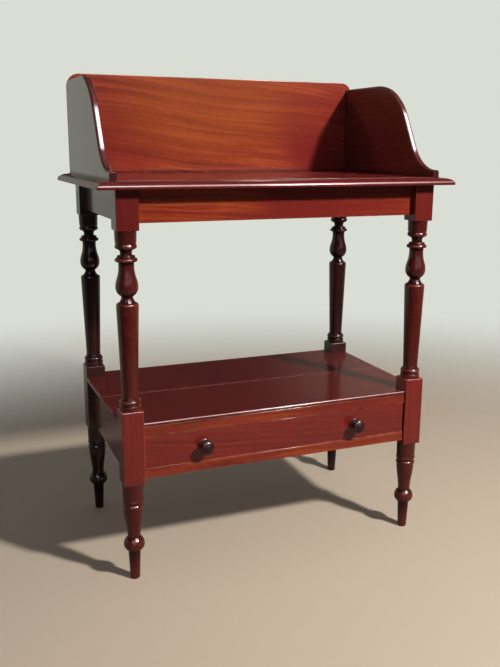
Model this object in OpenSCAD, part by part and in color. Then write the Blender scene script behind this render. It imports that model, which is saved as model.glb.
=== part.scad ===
// Washstand: a small wooden stand with a raised gallery round its top,
// four turned legs, a low shelf and one drawer under the shelf.
// Millimetres. X runs left to right, the drawer opens towards -Y, Z is up.
// The origin is on the floor, under the middle of the top board.

/* [Top board] */
// Width of the top board
top_w = 688; // [664:1:720]
// Depth of the top board, front to back
top_d = 390; // [384:1:420]
// Thickness of the top board
top_t = 14; // [12:0.5:18]
// Width of the thumb moulding round the front and the ends
mould_w = 22; // [16:1:26]
// Height of the upright lip under the moulding
mould_lip = 5; // [3:0.5:7]
// Small step down from the flat top to the moulding
mould_step = 1.2; // [0.6:0.1:2]

/* [Gallery] */
// Distance from the top's ends to the side boards' outer faces
gallery_side_inset = 25; // [23:1:34]
// Thickness of the side boards and the back board
gallery_t = 13; // [11:0.5:16]
// Distance from the top's front edge to the side boards' noses
gallery_inset = 21; // [8:1:24]
// Depth of the grooves in the top that hold the side boards and the back board
groove_in_top = 2; // [1:0.5:3]
// Height of the side boards over the top
side_h = 180; // [165:1:190]
// Height of the back board over the top
splash_h = 194; // [191:1:220]
// Radius of the back board's two upper corners
splash_corner_r = 25; // [10:1:40]
// Radius of the rounded shoulder of the side boards
shoulder_r = 131; // [124:1:134]
// Radius of the hollow sweep in front of the shoulder
sweep_r = 86; // [80:1:89]
// Steepest slope of the side boards' front edge, in degrees
sweep_angle = 60; // [58:1:62]
// Height of the small square nose at the front of the side boards
nose_h = 13.5; // [10:0.5:18]
// Length of that nose
nose_l = 4.6; // [2:0.1:12]

/* [Legs] */
// Distance from the top's ends to the legs
frame_side_inset = 34; // [26:1:44]
// Distance from the top's front edge to the legs
frame_inset = 21; // [14:1:25]
// Distance from the top's back edge to the legs
frame_back_inset = 7; // [2:1:16]
// Side of the square blocks of the legs
leg_s = 39.5; // [39.4:0.1:44]
// Height of the legs, from the floor to the top board
leg_h = 715.5; // [680:0.5:760]
// Height of the square block at the head of the leg
head_block_h = 69; // [66:0.5:80]
// Height of the lower edge of the low square block
low_block_z = 190; // [175:1:198]
// Height of the low square block
low_block_h = 139; // [130:1:150]

/* [Leg turning under the low block] */
// Radius of the foot at the floor
foot_r = 8.9; // [7:0.1:10.5]
// Small chamfer round the foot
foot_ease = 1.5; // [0.5:0.1:3]
// Radius of the foot under the ball
foot_top_r = 11.8; // [11:0.1:13]
// Radius of the ball's curve under its middle
ball_low_round = 14; // [12:0.1:17]
// Radius of the ball's curve over its middle
ball_high_round = 17.5; // [16:0.1:19]
// Radius of the ball
ball_r = 19.4; // [17:0.1:19.6]
// Height of the ball's middle
ball_z = 69.5; // [60:0.5:74]
// Smallest radius of the ankle over the ball
ankle_r = 12.1; // [11:0.1:14]
// Height of the ankle's narrowest place
ankle_z = 86; // [82:0.5:92]
// Radius of the ankle's upper end
ankle_top_r = 17.5; // [16.5:0.1:18]
// Drop from the low block to the ankle's upper end
ankle_drop = 50; // [48:0.5:60]
// Drop from the low block to the lower ring
ring_low_drop = 44.5; // [43:0.5:46]
// Drop from the low block to the upper ring
ring_high_drop = 33.5; // [32:0.5:35]
// Radius of the rounding of these two rings
ring_round = 5; // [4:0.1:5.4]
// Radius of the wood between the rings
ring_core_r = 17.5; // [16:0.1:18]
// Radius of the rings
ring_r = 19.3; // [18.5:0.1:19.6]
// Radius of the plain collar at its narrow end
collar_r = 18.4; // [17.6:0.1:18.8]
// Radius of the plain collar at the block
collar_top_r = 19.1; // [18.8:0.1:19.6]

/* [Leg turning over the low block] */
// Height of the short collar on the low block
base_collar_h = 9; // [7:0.5:11]
// Radius of the rounding of the base ring
base_ring_round = 5; // [4:0.1:5.5]
// Height of the base ring's middle over the low block
base_ring_rise = 14.9; // [14:0.1:16]
// Radius of the wood under and over the base ring
base_fillet_r = 16.8; // [16:0.1:17.4]
// Height over the low block where the long taper starts
taper_rise = 25; // [22:0.5:28]
// Radius of the long taper at its foot
taper_low_r = 14.4; // [13:0.1:15.5]
// Radius of the long taper at its shoulder
taper_high_r = 19.6; // [19:0.1:19.7]
// Rounding of the shoulder
shoulder_round = 4.6; // [3.5:0.1:5]
// Drop from the head block to the shoulder
taper_drop = 129; // [127:0.5:132]

/* [Leg turning under the head block] */
// Drop from the head block to the small bead under the vase
low_bead_drop = 119.5; // [118.5:0.5:121]
// Rounding of the small beads
small_bead_round = 2.2; // [1.8:0.1:2.6]
// Radius of the small bead under the vase
small_bead_r = 11.8; // [11.4:0.1:12.4]
// Radius of the neck under the vase
vase_foot_r = 10.4; // [9.5:0.1:11]
// Drop from the head block to the widest place of the vase
vase_drop = 97; // [96:0.5:98]
// Radius of the vase's rounded lower half
vase_low_round = 18.3; // [17.6:0.1:18.8]
// Radius of the vase at its widest
vase_r = 19.7; // [19:0.1:19.7]
// Radius of the curve of the vase's upper half
vase_high_round = 42; // [40:1:44]
// Angle of the vase's upper half before it turns hollow, in degrees
vase_turn = 20; // [18:1:22]
// Radius of the vase's neck
vase_neck_r = 13.5; // [13:0.1:14]
// Drop from the head block to the vase's neck
vase_neck_drop = 60.5; // [60:0.5:61]
// Drop from the head block to the ring over the vase
vase_ring_drop = 50.2; // [49.8:0.1:50.6]
// Rounding of the ring over the vase
bead_round = 3.4; // [3:0.1:3.6]
// Drop from the head block to the small bead over the vase
high_bead_drop = 44.5; // [44:0.1:45]
// Radius of the small bead over the vase
high_bead_r = 15.8; // [15:0.1:16.6]
// Radius of the neck over the small bead
neck_r = 10.3; // [9.5:0.1:11]
// Drop from the head block to the top of the neck
neck_drop = 35.2; // [34.5:0.1:36]
// Drop from the head block to the bead under the collar
collar_bead_drop = 27; // [26.5:0.1:27.4]
// Radius of the bead under the collar
collar_bead_r = 19; // [18.6:0.1:19.6]
// Rounding of the bead under the collar
collar_bead_round = 4.6; // [4:0.1:5]
// Drop from the head block to the lower end of the collar
collar_drop = 21; // [20:0.1:22]
// Radius of the groove between the collar and its bead
collar_groove_r = 17.6; // [17:0.1:18]

/* [Aprons] */
// Height of the four aprons under the top
apron_h = 57.5; // [50:0.5:64]
// Thickness of the aprons
apron_t = 18; // [16:0.5:19]
// Setback of the aprons from the legs' outer faces
apron_recess = 13; // [11:0.5:14]
// Thickness of the aprons' tenons
tenon_t = 8; // [6:0.5:9]
// Length of all tenons
tenon_l = 11; // [8:0.5:12]
// Clearance round a tenon in its mortise
joint_gap = 0.1; // [0.05:0.05:0.3]
// Shoulder of the tenons at their lower edge
shoulder_low = 5; // [3:0.5:8]
// Shoulder of the tenons at their upper edge
shoulder_high = 9; // [5:0.5:12]
// Side of the glue blocks under the top
block_s = 16; // [10:0.5:20]
// Length of the glue blocks
block_l = 48; // [30:1:70]

/* [Lower case] */
// Rise of the lower case over the low block's lower edge
case_rise = 10; // [6:0.5:14]
// Height of the two rails, over and under the drawer
rail_h = 18.5; // [16:0.5:22]
// Height of the opening for the drawer
drawer_gap_h = 61.5; // [56:0.5:64]
// Setback of the rails from the legs' front faces
rail_recess = 4.5; // [3.5:0.1:6]
// Width of the rails' tenons
rail_tenon_w = 14; // [10:0.5:18]
// Thickness of the case's side and back panels
panel_t = 12; // [10:0.5:13]
// Setback of the panels from the legs' outer faces
panel_recess = 13; // [11:0.5:14]
// Thickness of the panels' tenons
panel_tenon_t = 6; // [5:0.5:7]
// Thickness of the shelf boards
shelf_t = 7; // [5:0.5:10]
// Setback of the shelf's rounded nose from the legs' front faces
nose_recess = 2.5; // [1.5:0.1:3.3]
// Distance from the middle of the shelf to the joint of its two boards
seam_y = 0; // [-40:1:40]
// Width of the drawer runners
runner_w = 26; // [22:0.5:30]
// Height of the drawer runners
runner_h = 13.5; // [10:0.5:16]
// Height of the side guides on the runners
guide_h = 24; // [16:0.5:34]

/* [Drawer] */
// Gap round the drawer front and beside the drawer
drawer_reveal = 0.8; // [0.5:0.1:1.2]
// Running gap under the drawer
drawer_lift = 0.3; // [0.2:0.05:0.5]
// Setback of the drawer front behind the rails
front_recess = 1; // [0.5:0.1:2]
// Thickness of the drawer front
front_t = 18; // [16:0.5:20]
// Wood left in front of the lapped dovetails
dovetail_lap = 6; // [5:0.5:8]
// Distance from the drawer's back to the back legs' inner faces
drawer_rear_gap = 3; // [1:0.5:12]
// Thickness of the drawer sides and back
side_t = 8.5; // [7.5:0.5:10]
// Drop of the sides' upper edge below the drawer front's
side_drop = 1; // [0.5:0.1:2]
// Thickness of the drawer bottom
bottom_t = 5; // [4:0.5:6]
// Height of the drawer bottom's groove over the lower edge
groove_z = 7; // [6.5:0.5:8]
// Depth of the groove
groove_d = 3; // [2.5:0.5:4]
// Clearance of the drawer bottom in its grooves
groove_gap = 0.15; // [0.1:0.05:0.3]
// Narrow height of each dovetail
tail_h = 12; // [10:0.5:13]
// Spread of each dovetail to each edge of its wide end
tail_flare = 2.5; // [1.5:0.1:3.5]
// Wood between the wide ends of two dovetails
tail_wall = 2.5; // [1.5:0.1:3]
// Height of the drawer stops on the lower rail
stop_h = 4.5; // [3:0.5:5]
// Length of each drawer stop
stop_w = 40; // [20:1:60]
// Thickness of the drawer stops
stop_d = 10; // [6:0.5:14]

/* [Knobs] */
// Distance of each knob's middle from its end of the drawer front
knob_inset = 112.7; // [90:0.1:140]
// Radius of the knobs' heads
knob_r = 13; // [12:0.5:15]
// Radius of the knobs' base collars
knob_base_r = 12; // [10.5:0.5:13]
// Thickness of the base collars
knob_base_t = 4; // [3:0.5:5]
// Radius of the knobs' necks
knob_neck_r = 6.5; // [6:0.5:7.5]
// Length of the knobs' necks
knob_neck_l = 12.5; // [11:0.5:13]
// Rounding of the heads' rims
knob_rim_round = 4.5; // [4:0.1:5]
// Rise of the heads' domed faces
knob_dome = 2.5; // [2:0.5:3]
// Radius of the hollow between each neck and head
knob_hollow = 5.5; // [5:0.5:6]
// Radius of the spigots through the drawer front
spigot_r = 5.5; // [4.5:0.5:5.5]
// Length of each spigot behind the drawer front
spigot_out = 1; // [0.5:0.5:3]

/* [Screws] */
// Radius of the screws' shanks
screw_r = 1.9; // [1.5:0.1:2.2]
// Radius of the screws' heads
screw_head_r = 3.8; // [3.4:0.1:4.2]
// Length of the screws that hold the gallery
screw_l = 30; // [26:1:36]
// Length of the screws in the drawer bottom
bottom_screw_l = 14; // [12:1:16]
// Depth of the slot in the screws' heads
slot_d = 0.8; // [0.6:0.1:1]
// Width of that slot
slot_w = 1; // [0.8:0.1:1.2]
// Clearance round a screw in its hole
screw_gap = 0.05; // [0.05:0.01:0.1]

/* [Show] */
// The piece to show

/* [Hidden] */
// Smoothness of the turned work, of the large arcs and of the legs' swell
turn_fn = 96;
arc_fn = 240;
swell_steps = 16;
// Extra length of a cut past the face that it opens, or of a joined shape inside its neighbour
past = 1;
// Frame positions
half_w = top_w / 2 - frame_side_inset;
front_y = -top_d / 2 + frame_inset;
back_y = top_d / 2 - frame_back_inset;
leg_x = half_w - leg_s / 2;
leg_front_y = front_y + leg_s / 2;
leg_back_y = back_y - leg_s / 2;
inner_x = half_w - leg_s;
inner_front_y = front_y + leg_s;
inner_back_y = back_y - leg_s;
head_z = leg_h - head_block_h;
low_top_z = low_block_z + low_block_h;
top_z = leg_h + top_t;
apron_z = leg_h - apron_h;
// Lower case positions
case_z = low_block_z + case_rise;
opening_z = case_z + rail_h;
upper_rail_z = opening_z + drawer_gap_h;
shelf_z = upper_rail_z + rail_h;
case_h = shelf_z - case_z;
rail_y = front_y + rail_recess;
rail_d = leg_s - rail_recess;
panel_x = half_w - panel_recess;
panel_in_x = panel_x - panel_t;
panel_back_y = back_y - panel_recess;
shelf_nose_y = front_y + nose_recess;
shelf_mid_y = (front_y + back_y) / 2 + seam_y;
runner_x = panel_in_x - runner_w;
runner_l = inner_back_y - inner_front_y;
// Moulding of the top
mould_rise = top_t - mould_step - mould_lip;
mould_r = (mould_w * mould_w + mould_rise * mould_rise) / (2 * mould_rise);
// Gallery outline, from the nose back to the level edge
gallery_x = top_w / 2 - gallery_side_inset;
gallery_front_y = -top_d / 2 + gallery_inset;
splash_y = top_d / 2 - gallery_t;
side_l = splash_y - gallery_front_y;
arc_cut = 1 - cos(sweep_angle);
sweep_l = (side_h - nose_h - (shoulder_r + sweep_r) * arc_cut) / sin(sweep_angle);
nose_y = gallery_front_y + nose_l;
hollow_y = nose_y + sweep_r * sin(sweep_angle);
hollow_z = nose_h + sweep_r * arc_cut;
turn_y = hollow_y + sweep_l * cos(sweep_angle);
turn_z = side_h - shoulder_r * arc_cut;
arc_y = turn_y + shoulder_r * sin(sweep_angle);
// Drawer positions
drawer_w = 2 * (inner_x - drawer_reveal);
drawer_z = opening_z + drawer_lift;
drawer_front_y = rail_y + front_recess;
drawer_in_y = drawer_front_y + front_t;
drawer_end_y = inner_back_y - drawer_rear_gap;
front_h = drawer_gap_h - drawer_lift - drawer_reveal;
side_board_h = front_h - side_drop;
bottom_z = drawer_z + groove_z;
back_z = bottom_z + bottom_t + groove_gap;
back_h = drawer_z + side_board_h - back_z;
tail_l = front_t - dovetail_lap;
tail_low_z = drawer_z + groove_z + bottom_t + tail_flare + tail_wall;
tail_pitch = tail_h + 2 * tail_flare + tail_wall;
knob_x = drawer_w / 2 - knob_inset;
knob_z = drawer_z + front_h / 2;
stop_x = inner_x / 3;
// Screw positions, in even steps along the boards
screw_y = [for (step = [0.2, 0.54, 0.88]) gallery_front_y + step * side_l];
screw_x = [for (step = [-1.5, -0.5, 0.5, 1.5]) step * gallery_x / 2];
screw_z = [for (step = [0.28, 0.75]) step * side_h];
bottom_screw_x = [for (step = [-1, 0, 1]) step * drawer_w / 3];
// Small overlap by which one turned form sinks into the next
waist = 0.2;
// Small excess of an arc over the line that it runs into, so that the two cross cleanly
crossing = 0.02;

// A box between two opposite corners
module block(low, high) {
    translate(low) cube(high - low);
}

// A ring's round section, given by its outer radius, height and rounding
module bead(outer_r, z, round_r) {
    translate([outer_r - round_r, z]) circle(r = round_r, $fn = turn_fn);
}

// Half of a ring's section on one side of its middle, side 1 upwards and -1 downwards
module half_bead(outer_r, z, round_r, side) {
    intersection() {
        translate([outer_r - round_r, z]) circle(r = round_r, $fn = turn_fn);
        translate([0, min(z, z + side * round_r)]) square([outer_r, round_r]);
    }
}

// Half section of the foot, ball, ankle and rings under the low block
module foot_section() {
    ankle_top = low_block_z - ankle_drop;
    swell = [for (i = [0:swell_steps]) let (t = i / swell_steps)
        [ankle_r + (ankle_top_r - ankle_r) * t * t * (3 - 2 * t), ankle_z + (ankle_top - ankle_z) * t]];
    polygon([[0, 0], [foot_r - foot_ease, 0], [foot_r, foot_ease], [foot_top_r, ball_z], [0, ball_z]]);
    half_bead(ball_r, ball_z, ball_low_round, -1);
    half_bead(ball_r, ball_z, ball_high_round, 1);
    polygon(concat([[0, ball_z], [ankle_r, ball_z]], swell, [[0, ankle_top]]));
    translate([0, ankle_top - waist]) square([ring_core_r, ankle_drop - ring_high_drop + waist]);
    bead(ring_r, low_block_z - ring_low_drop, ring_round);
    bead(ring_r, low_block_z - ring_high_drop, ring_round);
    polygon([[0, low_block_z - ring_high_drop], [collar_r, low_block_z - ring_high_drop],
        [collar_top_r, low_block_z], [collar_top_r, low_block_z + waist], [0, low_block_z + waist]]);
}

// Half section from the low block up to the head block
module shaft_section() {
    base_ring_z = low_top_z + base_ring_rise;
    taper_z = low_top_z + taper_rise;
    taper_top = head_z - taper_drop;
    translate([0, low_top_z - waist]) square([collar_top_r, base_collar_h + waist]);
    bead(ring_r, base_ring_z, base_ring_round);
    polygon([[0, low_top_z], [base_fillet_r, low_top_z], [base_fillet_r, base_ring_z + waist],
        [taper_low_r, taper_z], [taper_high_r, taper_top], [0, taper_top]]);
    bead(taper_high_r, taper_top, shoulder_round);
    vase_section();
    neck_section();
}

// Half section of the vase and the small beads next to it
module vase_section() {
    taper_top = head_z - taper_drop;
    low_bead_z = head_z - low_bead_drop;
    vase_z = head_z - vase_drop;
    neck_z = head_z - vase_neck_drop;
    ring_z = head_z - vase_ring_drop;
    turn_r = vase_r - vase_high_round * (1 - cos(vase_turn));
    turn_rise = vase_z + vase_high_round * sin(vase_turn);
    spread = turn_r - vase_neck_r;
    rise = neck_z - turn_rise;
    hollow = (spread * spread + rise * rise) / (2 * spread);
    bulge = [for (a = [0:2:vase_turn])
        [vase_r - vase_high_round * (1 - cos(a)), vase_z + vase_high_round * sin(a)]];
    polygon([[0, taper_top - waist], [taper_high_r - shoulder_round, taper_top - waist],
        [taper_high_r - shoulder_round, taper_top + shoulder_round],
        [small_bead_r - waist, low_bead_z], [vase_foot_r, low_bead_z + small_bead_round],
        [vase_foot_r, vase_z], [0, vase_z]]);
    bead(small_bead_r, low_bead_z, small_bead_round);
    intersection() {
        translate([vase_r - vase_low_round, vase_z]) circle(r = vase_low_round, $fn = turn_fn);
        translate([0, vase_z - vase_low_round]) square([vase_r, vase_low_round]);
    }
    polygon(concat([[0, vase_z]], bulge, [[turn_r, turn_rise], [0, turn_rise]]));
    difference() {
        translate([0, turn_rise]) square([turn_r, ring_z - turn_rise]);
        translate([vase_neck_r + hollow, neck_z]) circle(r = hollow, $fn = arc_fn);
    }
}

// Half section of the ring, neck, bead and collar under the head block
module neck_section() {
    ring_z = head_z - vase_ring_drop;
    high_bead_z = head_z - high_bead_drop;
    neck_z = head_z - neck_drop;
    collar_bead_z = head_z - collar_bead_drop;
    collar_z = head_z - collar_drop;
    flare_r = collar_bead_r - collar_bead_round;
    bead(taper_high_r, ring_z, bead_round);
    bead(high_bead_r, high_bead_z, small_bead_round);
    bead(collar_bead_r, collar_bead_z, collar_bead_round);
    polygon([[0, ring_z - waist], [taper_high_r - bead_round, ring_z - waist],
        [taper_high_r - bead_round, ring_z + bead_round - waist],
        [high_bead_r - small_bead_round, high_bead_z - waist],
        [high_bead_r - small_bead_round, high_bead_z + small_bead_round - waist],
        [neck_r, high_bead_z + small_bead_round], [neck_r, neck_z],
        [flare_r, collar_bead_z - collar_bead_round + waist], [collar_groove_r, collar_bead_z],
        [collar_groove_r, collar_z], [collar_r, collar_z], [collar_top_r, head_z],
        [collar_top_r, head_z + waist], [0, head_z + waist]]);
}

// One leg before its mortises, upright at the middle of its blocks
module leg_blank() {
    rotate_extrude($fn = turn_fn) foot_section();
    rotate_extrude($fn = turn_fn) shaft_section();
    block([-leg_s / 2, -leg_s / 2, low_block_z], [leg_s / 2, leg_s / 2, low_top_z]);
    block([-leg_s / 2, -leg_s / 2, head_z], [leg_s / 2, leg_s / 2, leg_h]);
}

// Tenon of a front or back apron at its left end, grown by a clearance
module apron_tenon_x(outer_y, inward, grow) {
    near_y = outer_y + inward * (apron_t - tenon_t) / 2;
    far_y = near_y + inward * tenon_t;
    block([-inner_x - tenon_l - grow, min(near_y, far_y) - grow, apron_z + shoulder_low - grow],
        [-inner_x + past, max(near_y, far_y) + grow, leg_h - shoulder_high + grow]);
}

// Tenon of the left apron at its front end, grown by a clearance
module apron_tenon_y(grow) {
    low_x = -half_w + apron_recess + (apron_t - tenon_t) / 2;
    block([low_x - grow, inner_front_y - tenon_l - grow, apron_z + shoulder_low - grow],
        [low_x + tenon_t + grow, inner_front_y + past, leg_h - shoulder_high + grow]);
}

// Tenon of the left case panel at its front end, grown by a clearance
module panel_tenon_y(grow) {
    low_x = -panel_x + (panel_t - panel_tenon_t) / 2;
    block([low_x - grow, inner_front_y - tenon_l - grow, case_z + shoulder_low - grow],
        [low_x + panel_tenon_t + grow, inner_front_y + past, shelf_z - shoulder_low + grow]);
}

// Tenon of the case back at its left end, grown by a clearance
module panel_tenon_x(grow) {
    high_y = panel_back_y - (panel_t - panel_tenon_t) / 2;
    block([-inner_x - tenon_l - grow, high_y - panel_tenon_t - grow, case_z + shoulder_low - grow],
        [-inner_x + past, high_y + grow, shelf_z - shoulder_low + grow]);
}

// Tenon at the left end of a rail whose lower face is at z, grown by a clearance
module rail_tenon(z, grow) {
    low_y = rail_y + (rail_d - rail_tenon_w) / 2;
    block([-inner_x - tenon_l - grow, low_y - grow, z + shoulder_low / 2 - grow],
        [-inner_x + past, low_y + rail_tenon_w + grow, z + rail_h - shoulder_low / 2 + grow]);
}

// Moves children at the left end or the front end to the opposite end as well
module both_ends_x() {
    children();
    mirror([1, 0, 0]) children();
}

module both_ends_y() {
    children();
    translate([0, inner_front_y + inner_back_y, 0]) mirror([0, 1, 0]) children();
}

module front_leg() {
    difference() {
        translate([-leg_x, leg_front_y, 0]) leg_blank();
        apron_tenon_x(front_y + apron_recess, 1, joint_gap);
        apron_tenon_y(joint_gap);
        panel_tenon_y(joint_gap);
        rail_tenon(case_z, joint_gap);
        rail_tenon(upper_rail_z, joint_gap);
    }
}

module back_leg() {
    difference() {
        translate([-leg_x, leg_back_y, 0]) leg_blank();
        apron_tenon_x(back_y - apron_recess, -1, joint_gap);
        both_ends_y() apron_tenon_y(joint_gap);
        both_ends_y() panel_tenon_y(joint_gap);
        panel_tenon_x(joint_gap);
    }
}

module leg_front_left() {
    color([0.36, 0.10, 0.07]) front_leg();
}

module leg_front_right() {
    color([0.36, 0.10, 0.07]) mirror([1, 0, 0]) front_leg();
}

module leg_back_left() {
    color([0.34, 0.09, 0.07]) back_leg();
}

module leg_back_right() {
    color([0.34, 0.09, 0.07]) mirror([1, 0, 0]) back_leg();
}

// Section of the top board's moulded edge; the edge is at x = 0, the board runs to x = length
module mould_section(length) {
    translate([mould_w, 0]) square([length - mould_w, top_t]);
    intersection() {
        square([mould_w + past, top_t - mould_step]);
        translate([mould_w, top_t - mould_step - mould_r]) circle(r = mould_r, $fn = arc_fn);
    }
}

// One countersunk screw that points up from the origin
module screw(length, grow) {
    cylinder(r = screw_r + grow, h = length + grow, $fn = 48);
    cylinder(r1 = screw_head_r + grow, r2 = screw_r + grow, h = screw_head_r - screw_r, $fn = 48);
}

// One countersunk screw with a slot across its head
module slotted_screw(length) {
    difference() {
        screw(length, 0);
        block([-screw_head_r - past, -slot_w / 2, -past], [screw_head_r + past, slot_w / 2, slot_d]);
    }
}

// Places children at each screw that rises through the top, then at each one through the back board
module at_rising_screws() {
    for (side = [-1, 1]) {
        for (y = screw_y) {
            translate([side * (gallery_x - gallery_t / 2), y, leg_h]) children();
        }
    }
    for (x = screw_x) {
        translate([x, splash_y + gallery_t / 2, leg_h]) children();
    }
}

module at_back_screws() {
    for (side = [-1, 1]) {
        for (z = screw_z) {
            translate([side * (gallery_x - gallery_t / 2), top_d / 2, top_z + z]) rotate([90, 0, 0]) children();
        }
    }
}

module top_board() {
    color([0.38, 0.11, 0.07]) difference() {
        intersection() {
            translate([-top_w / 2, 0, leg_h]) rotate([90, 0, 90])
                linear_extrude(height = top_w) translate([-top_d / 2, 0]) mould_section(top_d);
            translate([0, top_d / 2, leg_h]) rotate([90, 0, 0])
                linear_extrude(height = top_d) intersection() {
                    translate([-top_w / 2, 0]) mould_section(top_w);
                    mirror([1, 0]) translate([-top_w / 2, 0]) mould_section(top_w);
                }
        }
        at_rising_screws() screw(screw_l, screw_gap);
        both_ends_x() block([-gallery_x - joint_gap, gallery_front_y - joint_gap, top_z - groove_in_top],
            [-gallery_x + gallery_t + joint_gap, top_d / 2 + past, top_z + past]);
        block([-gallery_x, splash_y - joint_gap, top_z - groove_in_top], [gallery_x, top_d / 2 + past, top_z + past]);
    }
}

// Outline of a gallery side board; x is the depth and y the height over the top
module side_outline() {
    difference() {
        union() {
            polygon([[splash_y, -groove_in_top], [splash_y, side_h], [arc_y, side_h], [turn_y, turn_z],
                [hollow_y, hollow_z], [nose_y, hollow_z], [nose_y, nose_h], [gallery_front_y, nose_h],
                [gallery_front_y, -groove_in_top]]);
            intersection() {
                translate([arc_y, side_h - shoulder_r]) circle(r = shoulder_r + crossing, $fn = arc_fn);
                translate([gallery_front_y, 0]) square([side_l, side_h]);
            }
        }
        translate([nose_y, nose_h + sweep_r]) circle(r = sweep_r + crossing, $fn = arc_fn);
    }
}

module side_board() {
    difference() {
        translate([-gallery_x, 0, top_z]) rotate([90, 0, 90])
            linear_extrude(height = gallery_t) side_outline();
        at_rising_screws() screw(screw_l, screw_gap);
        at_back_screws() screw(screw_l, screw_gap);
    }
}

module gallery_left() {
    color([0.36, 0.11, 0.07]) side_board();
}

module gallery_right() {
    color([0.36, 0.11, 0.07]) mirror([1, 0, 0]) side_board();
}

module splash_board() {
    color([0.46, 0.17, 0.08]) difference() {
        translate([0, top_d / 2, top_z]) rotate([90, 0, 0]) linear_extrude(height = gallery_t) {
            translate([-gallery_x, -groove_in_top])
                square([2 * gallery_x, splash_h - splash_corner_r + groove_in_top]);
            translate([splash_corner_r - gallery_x, 0]) square([2 * (gallery_x - splash_corner_r), splash_h]);
            for (side = [-1, 1]) {
                translate([side * (gallery_x - splash_corner_r), splash_h - splash_corner_r])
                    circle(r = splash_corner_r, $fn = turn_fn);
            }
        }
        at_rising_screws() screw(screw_l, screw_gap);
        at_back_screws() screw(screw_l, screw_gap);
    }
}

module gallery_screws() {
    color([0.35, 0.33, 0.30]) {
        at_rising_screws() slotted_screw(screw_l);
        at_back_screws() slotted_screw(screw_l);
    }
}

// A front or back apron with a tenon at each end
module long_apron(outer_y, inward) {
    inner_y = outer_y + inward * apron_t;
    block([-inner_x, min(outer_y, inner_y), apron_z], [inner_x, max(outer_y, inner_y), leg_h]);
    both_ends_x() apron_tenon_x(outer_y, inward, 0);
}

module short_apron() {
    block([-half_w + apron_recess, inner_front_y, apron_z], [-half_w + apron_recess + apron_t, inner_back_y, leg_h]);
    both_ends_y() apron_tenon_y(0);
}

module apron_front() {
    color([0.44, 0.16, 0.08]) long_apron(front_y + apron_recess, 1);
}

module apron_back() {
    color([0.40, 0.14, 0.08]) long_apron(back_y - apron_recess, -1);
}

module apron_left() {
    color([0.40, 0.13, 0.08]) short_apron();
}

module apron_right() {
    color([0.40, 0.13, 0.08]) mirror([1, 0, 0]) short_apron();
}

// A three-sided glue block along X, its square corner at the origin under the top
module glue_block() {
    rotate([90, 0, 90]) linear_extrude(height = block_l, center = true)
        polygon([[0, 0], [block_s, 0], [0, -block_s]]);
}

module glue_blocks() {
    inner_front = front_y + apron_recess + apron_t;
    inner_back = back_y - apron_recess - apron_t;
    inner_side = half_w - apron_recess - apron_t;
    color([0.62, 0.46, 0.30]) {
        for (side = [-1, 1]) {
            translate([side * inner_x / 2, inner_front, leg_h]) glue_block();
            translate([side * inner_x / 2, inner_back, leg_h]) rotate([0, 0, 180]) glue_block();
            translate([side * inner_side, (inner_front_y + inner_back_y) / 2, leg_h])
                rotate([0, 0, side * 90]) glue_block();
        }
    }
}

// The lower case: rails, panels, runners, guides and kickers
module case_rail(z) {
    block([-inner_x, rail_y, z], [inner_x, rail_y + rail_d, z + rail_h]);
    both_ends_x() rail_tenon(z, 0);
}

module rail_over_drawer() {
    color([0.44, 0.16, 0.08]) case_rail(upper_rail_z);
}

module rail_under_drawer() {
    color([0.42, 0.14, 0.08]) case_rail(case_z);
}

module side_panel() {
    block([-panel_x, inner_front_y, case_z], [-panel_in_x, inner_back_y, shelf_z]);
    both_ends_y() panel_tenon_y(0);
}

module case_left() {
    color([0.34, 0.11, 0.07]) side_panel();
}

module case_right() {
    color([0.34, 0.11, 0.07]) mirror([1, 0, 0]) side_panel();
}

module case_back() {
    color([0.34, 0.11, 0.07]) {
        block([-inner_x, panel_back_y - panel_t, case_z], [inner_x, panel_back_y, shelf_z]);
        both_ends_x() panel_tenon_x(0);
    }
}

module left_runner() {
    block([-panel_in_x, inner_front_y, opening_z - runner_h], [-runner_x, inner_back_y, opening_z]);
}

module left_guide() {
    block([-panel_in_x, inner_front_y, opening_z], [-inner_x, inner_back_y, opening_z + guide_h]);
}

module left_kicker() {
    block([-panel_in_x, inner_front_y, upper_rail_z], [-runner_x, inner_back_y, shelf_z]);
}

module runner_left() {
    color([0.60, 0.45, 0.30]) left_runner();
}

module runner_right() {
    color([0.60, 0.45, 0.30]) mirror([1, 0, 0]) left_runner();
}

module guide_left() {
    color([0.62, 0.47, 0.31]) left_guide();
}

module guide_right() {
    color([0.62, 0.47, 0.31]) mirror([1, 0, 0]) left_guide();
}

module kicker_left() {
    color([0.60, 0.45, 0.30]) left_kicker();
}

module kicker_right() {
    color([0.60, 0.45, 0.30]) mirror([1, 0, 0]) left_kicker();
}

module drawer_stops() {
    color([0.60, 0.45, 0.30]) both_ends_x()
        block([-stop_x - stop_w, drawer_in_y, opening_z], [-stop_x, drawer_in_y + stop_d, opening_z + stop_h]);
}

// The whole shelf, notched round the legs; its front nose is a half round
module shelf() {
    difference() {
        union() {
            block([-half_w, inner_front_y, shelf_z], [half_w, back_y, shelf_z + shelf_t]);
            block([-inner_x, shelf_nose_y + shelf_t / 2, shelf_z], [inner_x, inner_front_y + past, shelf_z + shelf_t]);
            translate([-inner_x, shelf_nose_y + shelf_t / 2, shelf_z + shelf_t / 2]) rotate([0, 90, 0])
                cylinder(r = shelf_t / 2, h = 2 * inner_x, $fn = 48);
        }
        both_ends_x() block([-half_w - past, inner_back_y, shelf_z - past], [-inner_x, back_y + past, shelf_z + shelf_t + past]);
    }
}

module shelf_front_board() {
    color([0.30, 0.10, 0.07]) intersection() {
        shelf();
        block([-half_w, front_y, shelf_z], [half_w, shelf_mid_y, shelf_z + shelf_t]);
    }
}

module shelf_back_board() {
    color([0.30, 0.10, 0.07]) intersection() {
        shelf();
        block([-half_w, shelf_mid_y, shelf_z], [half_w, back_y, shelf_z + shelf_t]);
    }
}

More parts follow.
